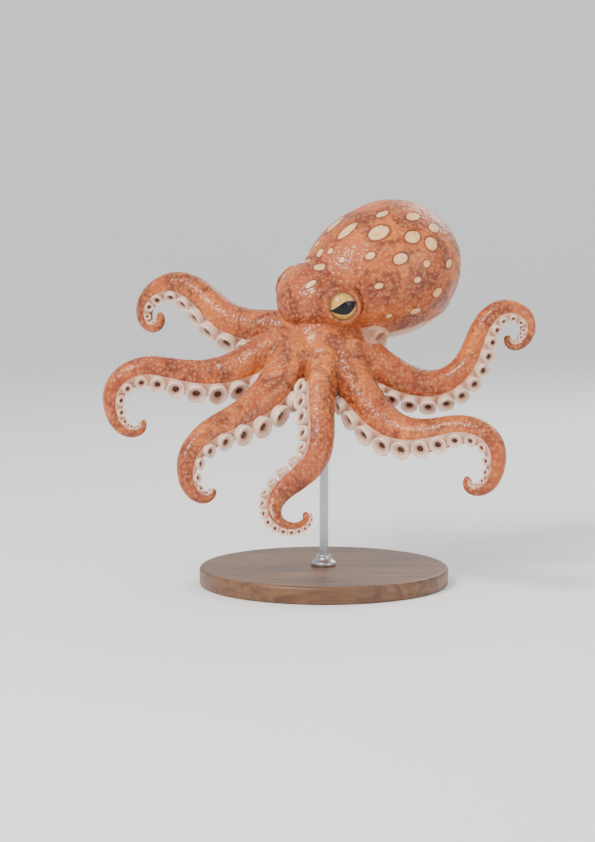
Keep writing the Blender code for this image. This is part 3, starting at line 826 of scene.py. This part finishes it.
def funnel_zones(where):
    """1 on the funnel, 1 in its bore, and 1 where painted shade darkens the deep end of the bore."""
    axis = FUNNEL_TIP - FUNNEL_ROOT
    offset = where.points - FUNNEL_ROOT
    height = offset @ unit(axis)
    beside = lengths(offset - np.outer(height, unit(axis)))
    funnel = (1 - ease(*FUNNEL_SIDE, beside)) * ease(*FUNNEL_START, height)
    funnel *= (1 - where.on_mantle) * (height < np.linalg.norm(axis) + 0.002)
    bore = (beside < BORE_WIDTH) & (height > BORE_SPAN[0]) & (height < BORE_SPAN[1])
    return funnel, bore, bore * ease(*BORE_PAINTED_SHADE, height)


def relief(where, smooth_parts, warts, keel, fold, spots):
    """How far the skin's own detail stands out at each point."""
    rough = 1 - 0.9 * smooth_parts
    rough *= ease(EYE_RADIUS, EYE_RADIUS + 0.003, where.from_eye)
    size = np.where(where.on_body > 0.3, 1.0, np.clip(where.arm_radius / ARM_RADIUS, 0.2, 1))
    rise = LUMP_RISE * noise_at(where.points, LUMPS) * (0.35 + 0.65 * where.on_body)
    rise += WART_RISE * warts * rough * (0.45 + 0.55 * where.on_body) * size
    rise += GRAIN_RISE * noise_at(where.points, GRAINS, 7.0) * rough * size

    round_arm = np.stack([where.along * WRINKLES[0], where.from_suckers * WRINKLES[1], where.arm * 9.0], 1)
    wrinkles = 1 - ease(0.0, 0.22, np.abs(noise_at(round_arm, 1.0, 11.0)))
    wrinkles *= ease(*ARM_BACK, np.degrees(np.abs(where.from_suckers)))
    rise -= WRINKLE_DEPTH * wrinkles * (1 - where.on_body) * size
    beyond = where.from_eye - EYE_RADIUS
    lid_wrinkles = np.cos(beyond * 2 * np.pi / LID_WRINKLES) * bell(beyond - 0.0035, 0.003)
    rise += LID_WRINKLE_RISE * lid_wrinkles * where.on_head

    free = ease(*FREE_RIM, where.mantle_height) * (where.mantle[:, 0] < -0.020)
    rim = bell(where.from_head - 1.9 * RIM_WIDTH, RIM_WIDTH) * where.on_mantle
    groove = bell(where.from_head, RIM_WIDTH) * (np.abs(where.from_mantle) < 0.004)
    rise += RIM_RISE * free * (rim - 0.8 * groove)
    return rise - MOUND_FOLD * fold + KEEL_RISE * keel + SPOT_RISE * (1 - ease(0.75, 1.1, spots))


def open_eyes(points):
    """Draws the skin in under each eyeball where the eye is open."""
    for side in SIDES:
        offset = points - eye_centre(side)
        distance = lengths(offset)
        depth = offset @ gaze(side)
        beside = np.sqrt(np.maximum(distance**2 - depth**2, 0))
        limit = EYE_RADIUS - EYE_CLEARANCE + np.maximum(beside - EYE_OPENING + 0.0006, 0) * 2
        inside = (depth > 0) & (distance > limit) & (distance < EYE_RADIUS + 0.006)
        points[inside] = eye_centre(side) + offset[inside] * (limit / distance)[inside][:, None]


def even_out(surface):
    """Smooths the joined flesh and fills its creases, most of all between the arms' roots."""
    surface.smooth(3)
    where = Where(surface)
    near_root = 1 - ease(*ROOT_CREASES, where.from_crown)
    near_root *= (1 - where.on_mantle) * ease(*BELOW_HEAD, where.head[:, 2])
    softness = FILLING[0] + FILLING[1] * near_root
    softness *= ease(*ROUND_EYE, where.from_eye)
    surface.fill_creases(softness, round(FILL_ROUNDS * (MM / VOXEL) ** 2))
    surface.smooth(2)


def build_skin(material):
    """One skin over all the flesh, whose points know where it is pale, spotted and warty, and where painted
    shade darkens the funnel's bore and the folds round the eye mounds.
    """
    mesh = one_flesh()
    surface = Surface(mesh)
    even_out(surface)
    where = Where(surface)
    oral, keel, fold, spots = oral_zone(where), keel_zone(where), mound_fold(where), spot_nearness(where)
    funnel, bore, bore_painted_shade = funnel_zones(where)
    belly = ease(*BELLY_HEIGHT, where.mantle_height) * where.on_mantle
    warts = ease(0.60, 0.10, cells_at(where.points, WARTS))
    rise = relief(where, np.maximum(oral, funnel), warts, keel, fold, spots)
    surface.points = where.points + where.normals * rise[:, None]
    open_eyes(surface.points)

    mesh.vertices.foreach_set("co", surface.points.ravel())
    mesh.update()
    pale = np.maximum.reduce([oral, belly * 0.9, keel * 0.8, funnel * 0.58, bore * 1.0])
    # The last value is painted shade for the deep end of the funnel's bore and the folds round the eye
    # mounds.
    finish(mesh, material, pale=np.clip(pale, 0, 1), spots=spots, warts=warts,
           hollow=np.maximum(bore_painted_shade, MOUND_FOLD_PAINTED_SHADE * fold))
    mesh.name = "octopus_skin"
    return new_object("octopus_skin", mesh)


# ---- suckers and mouth


def add_sucker(shells, depths, top, out, along, rim, rng):
    """One sucker: a fleshy rim, a ridged dish and a deep hollow."""
    sides = 56 if rim > LARGE_RIM else 36 if rim > MIDDLE_RIM else 20
    across = np.cross(out, along)
    oval = 1 + rng.uniform(-0.05, 0.05)
    turn = turns(sides)
    wave = np.cos(turn * (GROOVES if sides > 30 else FEW_GROOVES) + rng.uniform(0, 6))
    lobes = 1 + 0.015 * np.sin(3 * turn + rng.uniform(0, 6)) + 0.010 * np.sin(5 * turn + rng.uniform(0, 6))
    rings = []
    for number, (radius, height) in enumerate(SUCKER_PROFILE):
        lift = height * rim + (0.022 * rim * wave if number in GROOVED else 0.0)
        reach = radius * rim * lobes
        rings.append(top + np.outer(np.cos(turn) * reach * oval, along)
                     + np.outer(np.sin(turn) * reach / oval, across)
                     + np.outer(np.broadcast_to(lift, turn.shape), out))
    shells.rings(rings)
    inwards = np.clip((1 - SUCKER_PROFILE[:, 0]) / 0.95, 0, 1)
    inwards[:CUP_FROM] = 0
    depths.append(np.concatenate([np.repeat(inwards, sides), [0, 1]]))


def add_inner_suckers(shells, depths, tree, arm, first, rng):
    """The suckers between an arm's first one and the mouth get smaller, on the crown's underside."""
    mouth = mouth_place()
    from_mouth = arm.sucker_top(*first)[0] - mouth
    from_mouth -= CROWN_DOWN * (from_mouth @ CROWN_DOWN)
    distance = np.linalg.norm(from_mouth)
    spoke = from_mouth / distance
    rim = first[1]
    while True:
        smaller = min(rim * INNER_SHRINK, INNER_SHARE * (distance - rim))
        distance -= (rim + smaller) * INNER_SPACING
        rim = smaller
        if distance < MOUTH_RADIUS * MOUTH_CLEARANCE + rim or rim < LEAST_INNER_SUCKER:
            break
        place, normal = underside(tree, mouth + spoke * distance)
        if place is None:
            continue
        out = unit(np.array(normal) + CROWN_DOWN * 0.6)
        along = unit(spoke - out * (spoke @ out))
        add_sucker(shells, depths, np.array(place) + out * rim * 0.45, out, along, rim, rng)


def build_suckers(tree, material):
    made = []
    for number, (key, arm) in enumerate(ARM_MODELS.items()):
        rng = random.Random(number + 5)
        shells, depths = Shells(), []
        suckers = arm.suckers()
        for distance, rim in suckers:
            add_sucker(shells, depths, *arm.sucker_top(distance, rim), rim, rng)
        add_inner_suckers(shells, depths, tree, arm, suckers[0], rng)
        piece = shells.object(f"suckers_{key}")
        finish(piece.data, material, inwards=np.concatenate(depths))
        made.append(piece)
    return made


def mouth_place():
    return CROWN_CENTRE + CROWN_DOWN * CROWN_HALF_HEIGHT


def underside(tree, point):
    """Where a ray up through the point meets the skin, and the skin's normal there."""
    return tree.ray_cast(Vector(point + CROWN_DOWN * PROBE), Vector(-CROWN_DOWN))[:2]


def oval_ring(middle, turn, width, height):
    return middle + np.outer(np.cos(turn) * width, CROWN_SIDE) + np.outer(np.sin(turn) * height, CROWN_ACROSS)


def build_mouth(tree, lips_shader, beak_shader):
    """A ring of soft lips round the two tips of the beak."""
    place, _ = underside(tree, mouth_place())
    centre = np.array(place) if place else mouth_place()
    turn = turns(96)
    frill = 1 + 0.06 * np.cos(LIP_LOBES * turn)
    lips, beak = Shells(), Shells()
    rings = []
    for radius, height in LIPS_PROFILE:
        reach = MOUTH_RADIUS * radius * (frill if 0.6 < radius < 1.1 else 1)
        rings.append(oval_ring(centre + CROWN_DOWN * MOUTH_RADIUS * height, turn, reach, reach))
    lips.rings(rings)
    for sign, rise in ((1, 0.10), (-1, 0.02)):
        rings = []
        for share in np.linspace(0, 1, 10):
            width = MOUTH_RADIUS * 0.42 * (1 - share) ** 0.7 + 0.00008
            curve = sign * MOUTH_RADIUS * (0.20 - 0.24 * share**2)
            down = CROWN_DOWN * MOUTH_RADIUS * (-0.35 + (0.45 + rise) * share)
            middle = centre + down + CROWN_ACROSS * curve
            rings.append(oval_ring(middle, turn[::6], width, width * 0.55))
        beak.rings(rings)
    pieces = [lips.object("mouth_lips"), beak.object("beak")]
    for piece, shader in zip(pieces, (lips_shader, beak_shader)):
        finish(piece.data, shader)
    return pieces


# ---- eyes


def build_eye(side, material):
    """An eyeball whose points know their place across and up the eye, for its iris and pupil."""
    out, rear, up = eye_axes(side)
    shells = Shells()
    shells.star(eye_centre(side), (out, rear, np.cross(out, rear)),
                lambda direction: np.full(len(direction), EYE_RADIUS), EYE_GRID)
    eye = shells.object("eyeball_left" if side > 0 else "eyeball_right")
    points = np.concatenate(shells.points) - eye_centre(side)
    place = np.stack([points @ rear, points @ up, points @ out], 1) / EYE_OPENING
    finish(eye.data, material, eye_place=place)
    return eye


# ---- materials


class Nodes:
    """Short ways to wire up one material's nodes. A value may be a number, a colour or a socket."""

    def __init__(self, name):
        self.material = bpy.data.materials.new(name)
        self.material.use_nodes = True
        self.tree = self.material.node_tree
        self.shader = self.tree.nodes["Principled BSDF"]

    def put(self, socket, value):
        if isinstance(value, bpy.types.NodeSocket):
            self.tree.links.new(value, socket)
        else:
            socket.default_value = (*value, 1.0) if socket.type == "RGBA" else value

    def set(self, **values):
        for name, value in values.items():
            self.put(self.shader.inputs[name.replace("_", " ")], value)

    def node(self, kind, output, inputs, **settings):
        """One output of a new node, whose sockets are told by name or by number."""
        made = self.tree.nodes.new("ShaderNode" + kind)
        for name, value in settings.items():
            setattr(made, name, value)
        for name, value in inputs.items():
            self.put(made.inputs[name], value)
        return made.outputs[output]

    def place(self):
        return self.node("TexCoord", "Object", {})

    def stretched(self, *scale):
        return self.node("Mapping", "Vector", {"Vector": self.place(), "Scale": scale})

    def attribute(self, name, output="Fac"):
        return self.node("Attribute", output, {}, attribute_name=name)

    def noise(self, scale, detail=4.0, roughness=0.55, distortion=0.0, place=None):
        inputs = {"Vector": place or self.place(), "Scale": scale, "Detail": detail,
                  "Roughness": roughness, "Distortion": distortion}
        return self.node("TexNoise", "Fac", inputs)

    def cells(self, scale, feature):
        return self.node("TexVoronoi", "Distance", {"Vector": self.place(), "Scale": scale}, feature=feature)

    def ramp(self, value, low, high, to=(0.0, 1.0)):
        """Eases from to[0] where the value is low to to[1] where it is high."""
        inputs = {"Value": value, "From Min": low, "From Max": high, "To Min": to[0], "To Max": to[1]}
        return self.node("MapRange", "Result", inputs, interpolation_type="SMOOTHSTEP")

    def math(self, operation, a, b=0.0):
        return self.node("Math", 0, {0: a, 1: b}, operation=operation)

    def plus(self, a, b):
        return self.math("ADD", a, b)

    def minus(self, a, b):
        return self.math("SUBTRACT", a, b)

    def times(self, a, b):
        return self.math("MULTIPLY", a, b)

    def mix(self, share, a, b):
        """The first colour where the share is 0, the second where it is 1."""
        return self.node("Mix", 2, {0: share, 6: a, 7: b}, data_type="RGBA")  # the sockets for colours

    def bump(self, height, distance, strength):
        return self.node("Bump", "Normal", {"Height": height, "Distance": distance, "Strength": strength})


ORANGE, RUST, UMBER = (0.58, 0.140, 0.022), (0.36, 0.062, 0.016), (0.135, 0.018, 0.009)
FLECK, WART, PIGMENT = (0.76, 0.31, 0.080), (0.80, 0.34, 0.12), (0.075, 0.010, 0.008)
BELLY, FLUSHED_BELLY = (0.80, 0.53, 0.38), (0.68, 0.36, 0.23)
SPOT, SPOT_SHADE, SPOT_RING = (0.90, 0.60, 0.30), (0.84, 0.40, 0.14), (0.13, 0.020, 0.010)
# Painted shade for the deep end of the funnel's bore and the folds round the eye mounds.
PAINTED_HOLLOW_SHADE = (0.10, 0.030, 0.020)
SUCKER_PALE, SUCKER_FLUSH = (0.84, 0.64, 0.50), (0.74, 0.47, 0.35)
# The second is painted shade for the deep cup of each sucker.
SUCKER_DISH, SUCKER_CUP_SHADE = (0.58, 0.31, 0.21), (0.11, 0.032, 0.020)
GOLD, BRONZE, GLINT = (0.72, 0.42, 0.10), (0.42, 0.19, 0.045), (0.88, 0.66, 0.28)
IRIS_EDGE, PUPIL = (0.16, 0.060, 0.022), (0.004, 0.004, 0.005)
WOOD_DARK, WOOD_LIGHT, WOOD_PORE = (0.085, 0.034, 0.014), (0.200, 0.088, 0.036), (0.030, 0.013, 0.008)


def skin_material():
    """Mottled above and pale below, with pale spots, warts, fine grain, and painted shade in the funnel's
    bore and the folds round the eye mounds.
    """
    n = Nodes("octopus_skin")
    pale, spots = n.attribute("pale"), n.attribute("spots")
    colour = n.mix(n.ramp(n.noise(15.0, 3.0, 0.5, 0.4), 0.35, 0.65), ORANGE, RUST)
    patches = n.ramp(n.noise(42.0, 6.0, 0.66, 0.9), 0.42, 0.62)
    colour = n.mix(n.times(patches, 0.85), colour, UMBER)
    flecks = n.ramp(n.noise(170.0, 4.0, 0.7, 0.3), 0.54, 0.70)
    colour = n.mix(n.times(flecks, 0.36), colour, FLECK)
    colour = n.mix(n.times(n.attribute("warts"), 0.38), colour, WART)

    uneven = n.minus(n.noise(140.0, 4.0, 0.6), 0.5)
    belly = n.mix(n.ramp(n.noise(60.0, 3.0, 0.5), 0.3, 0.7), BELLY, FLUSHED_BELLY)
    colour = n.mix(n.ramp(n.plus(pale, n.times(uneven, 0.6)), 0.25, 0.85), colour, belly)
    near = n.plus(spots, n.times(uneven, 0.22))
    ring = n.times(n.ramp(near, 0.86, 1.02), n.ramp(near, 1.34, 1.08))
    colour = n.mix(n.times(ring, 0.75), colour, SPOT_RING)
    spot = n.mix(n.ramp(n.noise(210.0, 3.0, 0.6), 0.35, 0.70), SPOT, SPOT_SHADE)
    colour = n.mix(n.times(n.ramp(near, 1.00, 0.80), 0.92), colour, spot)
    dots = n.times(n.ramp(n.cells(1250.0, "F1"), 0.38, 0.18), n.ramp(n.noise(260.0, 2.0, 0.5), 0.42, 0.58))
    colour = n.mix(n.times(dots, n.ramp(pale, 0.1, 1.0, (0.60, 0.12))), colour, PIGMENT)
    # Painted shade: darkens the deep end of the funnel's bore and the folds round the eye mounds.
    colour = n.mix(n.times(n.attribute("hollow"), 0.9), colour, PAINTED_HOLLOW_SHADE)

    grain = n.times(n.ramp(n.cells(620.0, "SMOOTH_F1"), 0.75, 0.10), n.ramp(pale, 0.0, 1.0, (1.0, 0.30)))
    height = n.plus(grain, n.times(n.noise(1600.0, 2.0, 0.5), 0.25))
    n.set(Base_Color=colour, Roughness=n.ramp(n.noise(90.0, 3.0, 0.6), 0.3, 0.7, (0.42, 0.58)),
          Normal=n.bump(height, 0.00026, 0.8), Coat_Weight=0.30, Coat_Roughness=0.09, Subsurface_Weight=0.08,
          Subsurface_Radius=(1.0, 0.30, 0.15), Subsurface_Scale=0.003, IOR=1.38)
    return n.material


def sucker_material():
    """Pale flesh that darkens down the dish, with painted shade deep in the cup."""
    n = Nodes("suckers")
    inwards = n.attribute("inwards")
    colour = n.mix(n.ramp(n.noise(220.0, 3.0, 0.6, 0.2), 0.3, 0.7), SUCKER_PALE, SUCKER_FLUSH)
    colour = n.mix(n.ramp(inwards, 0.30, 0.60), colour, SUCKER_DISH)
    # Painted shade deep in the cup.
    colour = n.mix(n.ramp(inwards, 0.62, 0.76), colour, SUCKER_CUP_SHADE)
    n.set(Base_Color=colour, Roughness=0.36, Normal=n.bump(n.noise(1400.0, 2.0, 0.5), 0.0001, 0.6),
          Coat_Weight=0.5, Coat_Roughness=0.12, Subsurface_Weight=0.12, Subsurface_Radius=(1.0, 0.45, 0.3),
          Subsurface_Scale=0.003, IOR=1.38)
    return n.material


def pupil_edge(n, x, skew, power, height):
    """How high one edge of the slit is at x. skew moves its peak aside, and power rounds it."""
    from_peak = n.math("ABSOLUTE", n.plus(x, n.times(n.minus(n.times(x, x), 1.0), skew)))
    return n.times(n.minus(1.0, n.math("POWER", from_peak, power)), height)


def eye_material():
    """A golden iris with fine rays, and a black slit across it."""
    n = Nodes("eye")
    place = n.attribute("eye_place", "Vector")
    x, y, depth = (n.node("SeparateXYZ", axis, {"Vector": place}) for axis in "XYZ")
    x = n.times(x, 1 / 0.97)
    below_top = n.ramp(n.minus(pupil_edge(n, x, 0.22, 1.5, 0.31), y), -0.012, 0.012)
    above_foot = n.ramp(n.minus(y, pupil_edge(n, x, 0.05, 1.9, -0.57)), -0.012, 0.012)
    pupil = n.times(n.times(below_top, above_foot), n.ramp(depth, 0.0, 0.1))
    away = n.math("SQRT", n.plus(n.times(x, x), n.times(y, y)))
    turned = n.times(n.math("ARCTAN2", y, x), 6.0)
    turned = n.node("CombineXYZ", "Vector", {"X": turned, "Y": n.times(away, 1.2)})
    rays = n.noise(2.2, 4.0, 0.7, 0.4, turned)
    colour = n.mix(n.ramp(rays, 0.35, 0.65), GOLD, BRONZE)
    colour = n.mix(n.times(n.ramp(n.noise(900.0, 2.0), 0.5, 0.7), 0.5), colour, GLINT)
    colour = n.mix(n.ramp(away, 0.70, 0.98), colour, IRIS_EDGE)
    n.set(Base_Color=n.mix(pupil, colour, PUPIL), Roughness=0.30, Specular_IOR_Level=0.1, Coat_Weight=0.6,
          Coat_Roughness=0.025, Coat_IOR=1.36)
    return n.material


def lips_material():
    n = Nodes("lips")
    n.set(Base_Color=n.mix(n.noise(300.0), (0.78, 0.52, 0.42), (0.60, 0.30, 0.24)), Roughness=0.35,
          Coat_Weight=0.4, Coat_Roughness=0.15)
    return n.material


def beak_material():
    n = Nodes("beak")
    n.set(Base_Color=n.mix(n.noise(500.0), (0.035, 0.014, 0.008), (0.085, 0.035, 0.016)), Roughness=0.28)
    return n.material


def wood_material():
    """Dark stained wood whose figure and pores run along X."""
    n = Nodes("stand_wood")
    figure = n.noise(9.0, 6.0, 0.62, 1.4, n.stretched(1.0, 9.0, 9.0))
    pores = n.noise(160.0, 3.0, 0.7, 0.0, n.stretched(1.0, 14.0, 14.0))
    colour = n.mix(n.ramp(figure, 0.32, 0.68), WOOD_DARK, WOOD_LIGHT)
    colour = n.mix(n.times(n.ramp(pores, 0.55, 0.75), 0.6), colour, WOOD_PORE)
    n.set(Base_Color=colour, Roughness=n.ramp(pores, 0.3, 0.8, (0.42, 0.58)),
          Normal=n.bump(pores, 0.00008, 0.5), Coat_Weight=0.12, Coat_Roughness=0.25)
    return n.material


def steel_material():
    """Steel with the fine rings that turning leaves."""
    n = Nodes("stand_steel")
    lines = n.noise(1.0, 3.0, 0.6, 0.0, n.stretched(60.0, 60.0, 2600.0))
    n.set(Base_Color=n.mix(lines, (0.38, 0.38, 0.40), (0.50, 0.50, 0.51)), Metallic=1.0,
          Roughness=n.ramp(lines, 0.3, 0.7, (0.24, 0.38)), Normal=n.bump(lines, 0.00002, 0.4))
    return n.material


def floor_material():
    n = Nodes("floor")
    n.set(Base_Color=(0.90, 0.90, 0.89), Roughness=0.8)
    return n.material


# ---- stand


def base_profile():
    """The base from the middle of its underside round a small foot and a round bevel to its top."""
    edge, top = BASE_RADIUS, BASE_THICKNESS
    foot = [(0.05, 0.0), (edge - 0.0016, 0.0), (edge - 0.0004, 0.0005), (edge, 0.0016)]
    bevel = [(edge - BASE_BEVEL * (1 - math.cos(a)), top - BASE_BEVEL * (1 - math.sin(a)))
             for a in np.linspace(0, math.pi / 2, 7)]
    return foot + bevel + [(radius, top) for radius in (0.094, 0.075, 0.05, 0.02)]


def collar_profile():
    """The collar from the base up: a flange that sweeps into a neck round the rod."""
    neck, foot, top = COLLAR_RADIUS * 0.6, BASE_THICKNESS, BASE_THICKNESS + COLLAR_HEIGHT
    flange = [(COLLAR_RADIUS * 0.97, foot), (COLLAR_RADIUS, foot + 0.0004), (COLLAR_RADIUS, foot + 0.0028),
              (COLLAR_RADIUS * 0.965, foot + 0.0034)]
    sweep = [(neck + (COLLAR_RADIUS * 0.93 - neck) * (1 - t) ** 2, foot + 0.0036 + 0.0046 * t)
             for t in np.linspace(0.15, 1, 8)]
    return flange + sweep + [(neck, top - 0.0004), (neck - 0.0005, top + 0.0002)]


def build_stand(wood, steel):
    low, high = (corner.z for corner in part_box("stand_rod"))
    rod_profile = [(ROD_RADIUS, low - ROD_EXTRA), (ROD_RADIUS, low + 0.02), (ROD_RADIUS, high)]
    for name, node, material, profile, sides, sharp_from in (
            ("base_disc", "stand_base", wood, base_profile(), 160, 50),
            ("rod_collar", "stand_collar", steel, collar_profile(), 72, 40),
            ("rod", "stand_rod", steel, rod_profile, 48, 40)):
        shells = Shells()
        shells.turned(np.zeros(3), (0, 0, 1), profile, sides)
        piece = shells.object(name)
        finish(piece.data, material)
        piece.data.set_sharp_from_angle(angle=math.radians(sharp_from))
        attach(piece, "root")
        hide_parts(node)


# ---- camera, floor and light


def build_camera():
    data = bpy.data.cameras.new("camera")
    data.lens = 100
    data.sensor_fit = "VERTICAL"
    data.sensor_height = 36
    data.clip_start, data.clip_end = 0.05, 50
    camera = new_object("camera", data)
    away = Vector((0, -math.cos(CAMERA_RISE), math.sin(CAMERA_RISE)))
    camera.location = CAMERA_AIM + away * CAMERA_DISTANCE
    camera.rotation_euler = (CAMERA_AIM - camera.location).to_track_quat("-Z", "Y").to_euler()
    bpy.context.scene.camera = camera


def build_floor():
    """A pale floor that curves up into a plain backdrop all round."""
    sweep = [(FLOOR_RADIUS + SWEEP * math.sin(a), SWEEP * (1 - math.cos(a)))
             for a in np.linspace(0, math.pi / 2, 25)]
    profile = [(0.0005, 0.0), (1.0, 0.0)] + sweep + [(FLOOR_RADIUS + SWEEP, WALL_HEIGHT)]
    points = [(radius * math.cos(a), radius * math.sin(a), height)
              for radius, height in profile for a in turns(FLOOR_SECTORS)]
    mesh = bpy.data.meshes.new("floor")
    mesh.from_pydata(points, [], [face[::-1] for face in wrapped_faces(len(profile), FLOOR_SECTORS)])
    finish(mesh, floor_material())
    new_object("floor", mesh)


def build_light():
    for name, (place, size, power, colour) in LIGHTS.items():
        data = bpy.data.lights.new(name, "AREA")
        data.shape = "DISK"
        data.size, data.energy, data.color = size, power, colour
        light = new_object(name, data)
        light.location = place
        light.rotation_euler = (LIGHT_AIM - Vector(place)).to_track_quat("-Z", "Y").to_euler()
    world = bpy.data.worlds.new("world")
    world.use_nodes = True
    background = world.node_tree.nodes["Background"]
    background.inputs["Color"].default_value = (0.90, 0.93, 0.97, 1)
    background.inputs["Strength"].default_value = 0.85
    bpy.context.scene.world = world


# ---- the octopus


def main():
    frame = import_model()
    build_camera()
    build_floor()
    build_light()

    skin = build_skin(skin_material())
    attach(skin, "root")
    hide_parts(*[name for name in frame["nodes"] if not name.startswith(("stand_", "eye_"))])
    tree = bvhtree.BVHTree.FromObject(skin, bpy.context.evaluated_depsgraph_get())
    for piece in build_suckers(tree, sucker_material()) + build_mouth(tree, lips_material(), beak_material()):
        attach(piece, "root")
    eye_shader = eye_material()
    for side, node in ((1, "eye_left"), (-1, "eye_right")):
        eye = build_eye(side, eye_shader)
        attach(eye, "root")
        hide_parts(node)
    build_stand(wood_material(), steel_material())


main()
